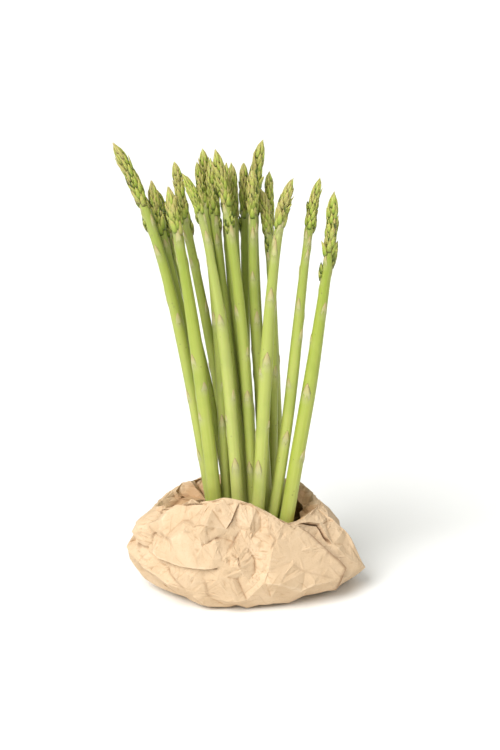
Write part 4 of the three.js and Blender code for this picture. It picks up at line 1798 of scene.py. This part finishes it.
class Nodes:
    """Short ways to add and link nodes in one material."""

    def __init__(self, name: str) -> None:
        """Starts an empty material with its output.

        Args:
            name: the material's name.
        """
        self.material = bpy.data.materials.new(name)
        self.material.use_nodes = True
        self.tree = self.material.node_tree
        self.tree.nodes.clear()
        self.output = self.tree.nodes.new("ShaderNodeOutputMaterial")

    def add(self, kind: str, settings: dict | None = None, inputs: dict | None = None) -> bpy.types.Node:
        """Adds a node, sets its properties, and sets or links its inputs.

        Args:
            kind: the node's type, without "ShaderNode".
            settings: properties by name.
            inputs: values or output sockets, by input name or number.

        Returns:
            The node.
        """
        node = self.tree.nodes.new(f"ShaderNode{kind}")
        for key, value in (settings or {}).items():
            setattr(node, key, value)
        for key, value in (inputs or {}).items():
            if isinstance(value, Socket):
                self.tree.links.new(value, node.inputs[key])
            else:
                node.inputs[key].default_value = value
        return node

    def ramp(self, value: Socket, stops: Stops) -> Socket:
        """A colour ramp over a value.

        Args:
            value: where on the ramp.
            stops: places from 0 to 1, each with its display colour.

        Returns:
            The colour.
        """
        node = self.add("ValToRGB", inputs={0: value})
        elements = node.color_ramp.elements
        while len(elements) < len(stops):
            elements.new(0.5)
        for element, (place, colour) in zip(elements, stops):
            element.position = place
            element.color = linear(colour)
        return node.outputs[0]

    def mix(self, share: Socket | float, low: Socket, high: Socket | Colour) -> Socket:
        """Mixes two colours.

        Args:
            share: how much of high.
            low: the colour at share 0.
            high: the colour at share 1: a socket or a display colour.

        Returns:
            The colour.
        """
        high = high if isinstance(high, Socket) else linear(high)
        return self.add("Mix", {"data_type": "RGBA"}, {0: share, 6: low, 7: high}).outputs[2]

    def maths(self, how: str, *values: Socket | float) -> Socket:
        """A Math node on its values."""
        return self.add("Math", {"operation": how}, dict(enumerate(values))).outputs[0]

    def times(self, first: Socket, second: Socket | float) -> Socket:
        """The product of two numbers."""
        return self.maths("MULTIPLY", first, second)

    def between(self, value: Socket, low: float, high: float) -> Socket:
        """0 at low and 1 at high, straight between them and level past them."""
        return self.add("MapRange", {"clamp": True}, {0: value, 1: low, 2: high}).outputs[0]

    def darker(self, colour: Socket, depth: float) -> Socket:
        """A colour that gives back only a share of its light."""
        settings = {"data_type": "RGBA", "blend_type": "MULTIPLY"}
        return self.add("Mix", settings, {0: 1.0, 6: colour, 7: (depth, depth, depth, 1.0)}).outputs[2]

    def finished(self, shader: bpy.types.Node) -> Material:
        """Links the shader to the output and returns the material."""
        self.tree.links.new(shader.outputs[0], self.output.inputs[0])
        return self.material


@dataclass(frozen=True)
class SkinFinish:
    """Asparagus skin: streaked green stems, pale bracts, and heads that turn beige and pink at their tips.

    The tone's first number is the Part. The second is the paler band on the stem, and how far from root to
    tip on a blade. The third is the share of the spear's height on the stem, and how near its edge on a
    blade. The fourth is how pale the stem is, and a random draw on a scale.

    Attributes:
        name: the material's name.
        depth: share of the colours' light that the skin gives back.
        stem, bract, head, bud: colours of the stem, a bract, a head scale and a bud scale, from root to tip;
        the dark stem inside the head and the dark scale roots are painted shade between overlapping scales.
        streak, cloud, band, speck: the stem's pale streaks, deep patches, bands at bracts and small scars.
        pale_stem, deep_stem: what the pale stems and the others go towards.
        eye: the small scar at a bract's root.
        head_blush, bud_blush: what some of the head's and the buds' scales go towards.
        head_edge: what the head's scales go towards at their edges.
    """

    name: str = "asparagus_skin"
    depth: float = 0.8
    stem: Stops = (
        (0.16, (192, 196, 98)), (0.35, (178, 189, 66)), (0.7, (162, 179, 44)),
        # The dark stop at 0.91, where the stem runs into the head, is painted shade between the head's
        # scales.
        (0.87, (152, 170, 42)), (0.91, (108, 130, 24)), (0.98, (194, 194, 94)),
    )
    streak: Colour = (208, 214, 112)
    cloud: Colour = (140, 164, 34)
    band: Colour = (208, 212, 146)
    speck: Colour = (120, 120, 50)
    pale_stem: Colour = (216, 218, 150)
    deep_stem: Colour = (120, 142, 36)
    bract: Stops = (
        (0.0, (122, 132, 56)), (0.05, (208, 214, 152)), (0.35, (208, 206, 146)),
        (0.65, (202, 184, 132)), (1.0, (182, 150, 104)),
    )
    eye: Colour = (146, 118, 58)
    head: Stops = (
        # The dark root of each scale is painted shade where the scales above overlap it.
        (0.0, (84, 106, 20)), (0.25, (156, 176, 60)), (0.6, (188, 198, 88)), (1.0, (196, 176, 104)),
    )
    head_blush: Colour = (200, 172, 122)
    head_edge: Colour = (186, 156, 112)
    # The bud scales' dark roots are painted shade where the scales overlap.
    bud: Stops = ((0.0, (74, 96, 14)), (0.45, (156, 172, 60)), (1.0, (202, 198, 108)))
    bud_blush: Colour = (188, 154, 112)

    HALF_STEP = 0.17  # about half of the step between the numbers of two Parts

    def stem_colour(self, n: Nodes, streaks: Socket, band: Socket, rise: Socket, pale: Socket) -> Socket:
        """The stem: its ramp, streaks, patches, pale bands and specks, then paler or deeper as a whole.

        Args:
            n: the material's nodes.
            streaks: noise that is drawn out along the stem.
            band: how much a place belongs to the band at a bract's root.
            rise: the share of the spear's height.
            pale: how pale this stem is.

        Returns:
            The colour.
        """
        where = n.add("TexCoord").outputs["Object"]
        patches = n.add("TexNoise", inputs={"Vector": where, "Scale": 45.0, "Detail": 3.0}).outputs[0]
        specks = n.add("TexVoronoi", inputs={"Vector": where, "Scale": 160.0, "Randomness": 1.0}).outputs[0]
        stem = n.ramp(rise, self.stem)
        stem = n.mix(0.45, stem, n.mix(n.between(streaks, 0.35, 0.7), stem, self.streak))
        stem = n.mix(n.times(n.between(patches, 0.5, 0.75), 0.5), stem, self.cloud)
        stem = n.mix(n.times(band, 0.42), stem, self.band)
        stem = n.mix(n.times(n.maths("LESS_THAN", specks, 0.09), 0.55), stem, self.speck)
        return n.mix(pale, n.mix(0.15, stem, self.deep_stem), n.mix(0.4, stem, self.pale_stem))

    def build(self) -> Material:
        """Makes the material.

        Returns:
            The material.
        """
        n = Nodes(self.name)
        tone = n.add("Attribute", {"attribute_name": "tone"})
        part, second, third = n.add("SeparateColor", inputs={0: tone.outputs["Color"]}).outputs
        fourth = tone.outputs["Alpha"]
        flow = n.add("UVMap", {"uv_map": "flow"}).outputs[0]
        drawn_out = n.add("Mapping", inputs={0: flow, 3: (22.0, 1.2, 1.0)}).outputs[0]
        streaks = n.add("TexNoise", inputs={"Vector": drawn_out, "Scale": 1.0, "Detail": 4.0}).outputs[0]
        stem = self.stem_colour(n, streaks, second, third, fourth)

        bract = n.mix(n.between(second, 1.3, -1.1), n.ramp(second, self.bract), stem)
        from_eye = n.maths("ABSOLUTE", n.maths("SUBTRACT", second, 0.11))
        eye = n.times(n.between(third, 0.34, 0.12), n.between(from_eye, 0.08, 0.03))
        bract = n.mix(n.times(eye, 0.7), bract, self.eye)

        head = n.ramp(second, self.head)
        head = n.mix(n.times(n.between(fourth, 0.5, 1.0), 0.45), head, self.head_blush)
        head = n.mix(n.times(n.between(third, 0.55, 1.0), 0.35), head, self.head_edge)
        bud = n.ramp(second, self.bud)
        bud = n.mix(n.times(n.between(fourth, 0.6, 1.0), 0.5), bud, self.bud_blush)

        colour = stem
        for kind, paint in ((Part.BRACT, bract), (Part.HEAD_SCALE, head), (Part.BUD_SCALE, bud)):
            colour = n.mix(n.maths("GREATER_THAN", part, kind.value - self.HALF_STEP), colour, paint)
        ridges = n.add("Bump", inputs={"Strength": 0.18, "Distance": 0.0004, "Height": streaks})
        rough = n.add("MapRange", inputs={0: streaks, 1: 0.3, 2: 0.7, 3: 0.42, 4: 0.58})
        return n.finished(n.add("BsdfPrincipled", inputs={
            "Base Color": n.darker(colour, self.depth),
            "Roughness": rough.outputs[0],
            "Normal": ridges.outputs[0],
            "Subsurface Weight": 0.25,
            "Subsurface Scale": 0.002,
            "Subsurface Radius": (0.6, 1.0, 0.25),
            "Specular IOR Level": 0.5,
        }))


@dataclass(frozen=True)
class PaperFinish:
    """Kraft paper: light brown, with clouds, fibre flecks, painted shade in folds and inside, and lighter
    ridges.

    The tone's first number is the bend, 0.5 where the paper is flat and more on ridges, the second is 1 on
    the inside of the bag, and the third is the share of painted shade that a fold gives the place.

    Attributes:
        name: the material's name.
        depth: share of the colours' light that the paper gives back.
        clouds: the paper's colours from its darker clouds to its lighter ones.
        fleck, line: the fibres, and painted shade along the fine crease lines.
        valley, ridge: painted shade in small folds; ridges' colour, partly wear, partly painted highlight.
        inner, deep_fold: painted shade on the inside of the bag and deep in folds.
        long_cells, short_cells: cells in a metre for the longer and the shorter fine creases.
        fold_height, grain_height: how high the fine folds and the fibres seem, in metres.
    """

    name: str = "kraft_paper"
    depth: float = 0.86
    clouds: Stops = ((0.3, (212, 183, 147)), (0.55, (222, 194, 159)), (0.75, (229, 203, 170)))
    fleck: Colour = (176, 138, 98)
    valley: Colour = (170, 128, 88)
    ridge: Colour = (242, 218, 186)
    line: Colour = (168, 126, 86)
    inner: Colour = (184, 138, 90)
    deep_fold: Colour = (118, 76, 42)
    long_cells: float = 52.0
    short_cells: float = 115.0
    fold_height: float = 0.00035
    grain_height: float = 0.0002

    @staticmethod
    def creases(n: Nodes, where: Socket, scale: float) -> tuple[Socket, Socket]:
        """A straight crease in each cell of a scattered pattern: where a plane through it cuts the paper.

        The plane's direction comes from the cell's random colour. The fold rises towards it like a tent, and
        fades out towards the cell's rim.

        Args:
            n: the material's nodes.
            where: the place.
            scale: cells in a metre.

        Returns:
            The strength of the painted shade line along the crease, and the fold's height.
        """
        cells = n.add("TexVoronoi", inputs={"Vector": where, "Scale": scale})
        even = {0: cells.outputs["Color"], 1: (0.5, 0.5, 0.5)}
        random = n.add("VectorMath", {"operation": "SUBTRACT"}, even)
        facing = n.add("VectorMath", {"operation": "NORMALIZE"}, {0: random.outputs[0]}).outputs[0]
        away = n.add("VectorMath", {"operation": "SUBTRACT"}, {0: where, 1: cells.outputs["Position"]})
        beside = n.add("VectorMath", {"operation": "DOT_PRODUCT"}, {0: away.outputs[0], 1: facing})
        distance = n.maths("ABSOLUTE", beside.outputs["Value"])
        fade = n.between(cells.outputs["Distance"], 0.62, 0.3)
        line = n.times(n.between(distance, 0.0004, 0.0001), fade)
        tent = n.times(n.between(distance, 0.12 / scale, 0.0), fade)
        return line, n.times(tent, n.maths("SIGN", facing))

    def build(self) -> Material:
        """Makes the material.

        Returns:
            The material.
        """
        n = Nodes(self.name)
        tone = n.add("Attribute", {"attribute_name": "tone"})
        bend, inside, fold = n.add("SeparateColor", inputs={0: tone.outputs["Color"]}).outputs
        where = n.add("TexCoord").outputs["Object"]
        clouds = n.add("TexNoise", inputs={"Vector": where, "Scale": 70.0, "Detail": 5.0, "Roughness": 0.6})
        fibres = n.add("TexNoise", inputs={"Vector": where, "Scale": 1400.0, "Detail": 2.0}).outputs[0]
        long_line, long_fold = self.creases(n, where, self.long_cells)
        short_line, short_fold = self.creases(n, where, self.short_cells)
        paper = n.ramp(clouds.outputs[0], self.clouds)
        paper = n.mix(n.times(n.between(fibres, 0.55, 0.75), 0.25), paper, self.fleck)
        # Painted shade in small folds; ridges lighter, partly as crease wear and partly as a painted
        # highlight.
        paper = n.mix(n.times(n.between(bend, 0.45, 0.2), 0.5), paper, self.valley)
        paper = n.mix(n.times(n.between(bend, 0.6, 0.85), 0.35), paper, self.ridge)
        # Painted shade along the fine crease lines.
        lines = n.maths("MAXIMUM", long_line, n.times(short_line, 0.7))
        paper = n.mix(n.times(lines, 0.28), paper, self.line)
        # Painted shade on the inside of the bag.
        paper = n.mix(n.times(inside, 0.6), paper, self.inner)
        # Painted shade deep in folds, beside lap edges and in valley creases.
        paper = n.mix(n.times(fold, 0.68), paper, self.deep_fold)
        heights = n.maths("ADD", long_fold, n.times(short_fold, 0.5))
        folds = n.add("Bump", inputs={"Strength": 1.0, "Distance": self.fold_height, "Height": heights})
        grain = n.add("Bump", inputs={
            "Strength": 0.25,
            "Distance": self.grain_height,
            "Height": fibres,
            "Normal": folds.outputs[0],
        })
        return n.finished(n.add("BsdfPrincipled", inputs={
            "Base Color": n.darker(paper, self.depth),
            "Roughness": 0.82,
            "Normal": grain.outputs[0],
            "Specular IOR Level": 0.3,
        }))


# ---- The studio ----


@dataclass(frozen=True)
class BroadLight:
    """A far, very broad light, as from a whole bank of softboxes.

    Attributes:
        name: its name.
        heading: where it stands, in degrees, 0 in front and 90 to the right.
        rise: its height over the horizon, in degrees.
        breadth: how wide it looks from the object, in degrees.
        strength: watts on a square metre that faces it.
    """

    name: str
    heading: float
    rise: float
    breadth: float
    strength: float

    def build(self) -> None:
        """Makes the light."""
        data = bpy.data.lights.new(self.name, "SUN")
        data.angle = math.radians(self.breadth)
        data.energy = self.strength
        lamp = bpy.data.objects.new(self.name, data)
        lamp.rotation_euler = (math.radians(90.0 - self.rise), 0.0, math.radians(self.heading))
        bpy.context.scene.collection.objects.link(lamp)


@dataclass(frozen=True)
class Studio:
    """A pale floor, an even surround and soft lights.

    Attributes:
        floor_edge: length of the floor's sides, in metres.
        floor_drop: how far under the bag it lies, in metres.
        floor_colour: of the floor.
        surround: strength of the light from all round.
        surround_colour: its colour, as linear light.
        lights: the lights.
    """

    floor_edge: float = 90.0
    floor_drop: float = 0.0002
    floor_colour: Colour = (247, 248, 247)
    surround: float = 0.2
    surround_colour: tuple[float, float, float] = (1.0, 0.96, 0.82)
    lights: tuple[BroadLight, ...] = (
        BroadLight("key_light", -40.0, 43.0, 38.0, 3.5),
        BroadLight("fill_light", 35.0, 28.0, 60.0, 0.5),
        BroadLight("overhead_light", 0.0, 90.0, 120.0, 1.0),
    )

    def floor(self) -> None:
        """Makes the floor: a square in four parts, pale and matt."""
        half = self.floor_edge / 2
        side = np.linspace(-half, half, 3)
        places = np.stack(np.meshgrid(side, side, [-self.floor_drop], indexing="ij"), axis=-1).reshape(-1, 3)
        mesh = bpy.data.meshes.new("floor")
        mesh.from_pydata(places.tolist(), [], [(0, 3, 4, 1), (1, 4, 5, 2), (3, 6, 7, 4), (4, 7, 8, 5)])
        n = Nodes("pale_floor")
        matt = n.add("BsdfPrincipled", inputs={"Base Color": linear(self.floor_colour), "Roughness": 0.6})
        mesh.materials.append(n.finished(matt))
        piece = bpy.data.objects.new("floor", mesh)
        bpy.context.scene.collection.objects.link(piece)

    def world(self) -> bpy.types.World:
        """What is round the floor: a dim, slightly warm light, which shows as plain white where it is seen.

        Returns:
            The world.
        """
        world = bpy.data.worlds.new("surround")
        world.use_nodes = True
        tree = world.node_tree
        dim = tree.nodes["Background"]
        dim.inputs["Color"].default_value = (*self.surround_colour, 1.0)
        dim.inputs["Strength"].default_value = self.surround
        white = tree.nodes.new("ShaderNodeBackground")
        white.inputs["Color"].default_value = (1.0, 1.0, 1.0, 1.0)
        ray = tree.nodes.new("ShaderNodeLightPath")
        mix = tree.nodes.new("ShaderNodeMixShader")
        tree.links.new(ray.outputs["Is Camera Ray"], mix.inputs[0])
        tree.links.new(dim.outputs[0], mix.inputs[1])
        tree.links.new(white.outputs[0], mix.inputs[2])
        tree.links.new(mix.outputs[0], tree.nodes["World Output"].inputs[0])
        return world

    def build(self) -> None:
        """Makes the floor, the surround and the lights."""
        self.floor()
        bpy.context.scene.world = self.world()
        for light in self.lights:
            light.build()
        bpy.context.scene.view_settings.view_transform = "Standard"


def main() -> None:
    """Builds the camera, the studio, the bag and the spears."""
    logging.basicConfig(level=logging.INFO, format="%(name)s: %(message)s")
    camera = FrontCamera()
    camera.build()
    Studio().build()
    PaperBag(camera).build(PaperFinish().build())
    skin = SkinFinish().build()
    for spear in SPEARS:
        spear.build(skin)


if __name__ == "__main__":
    main()
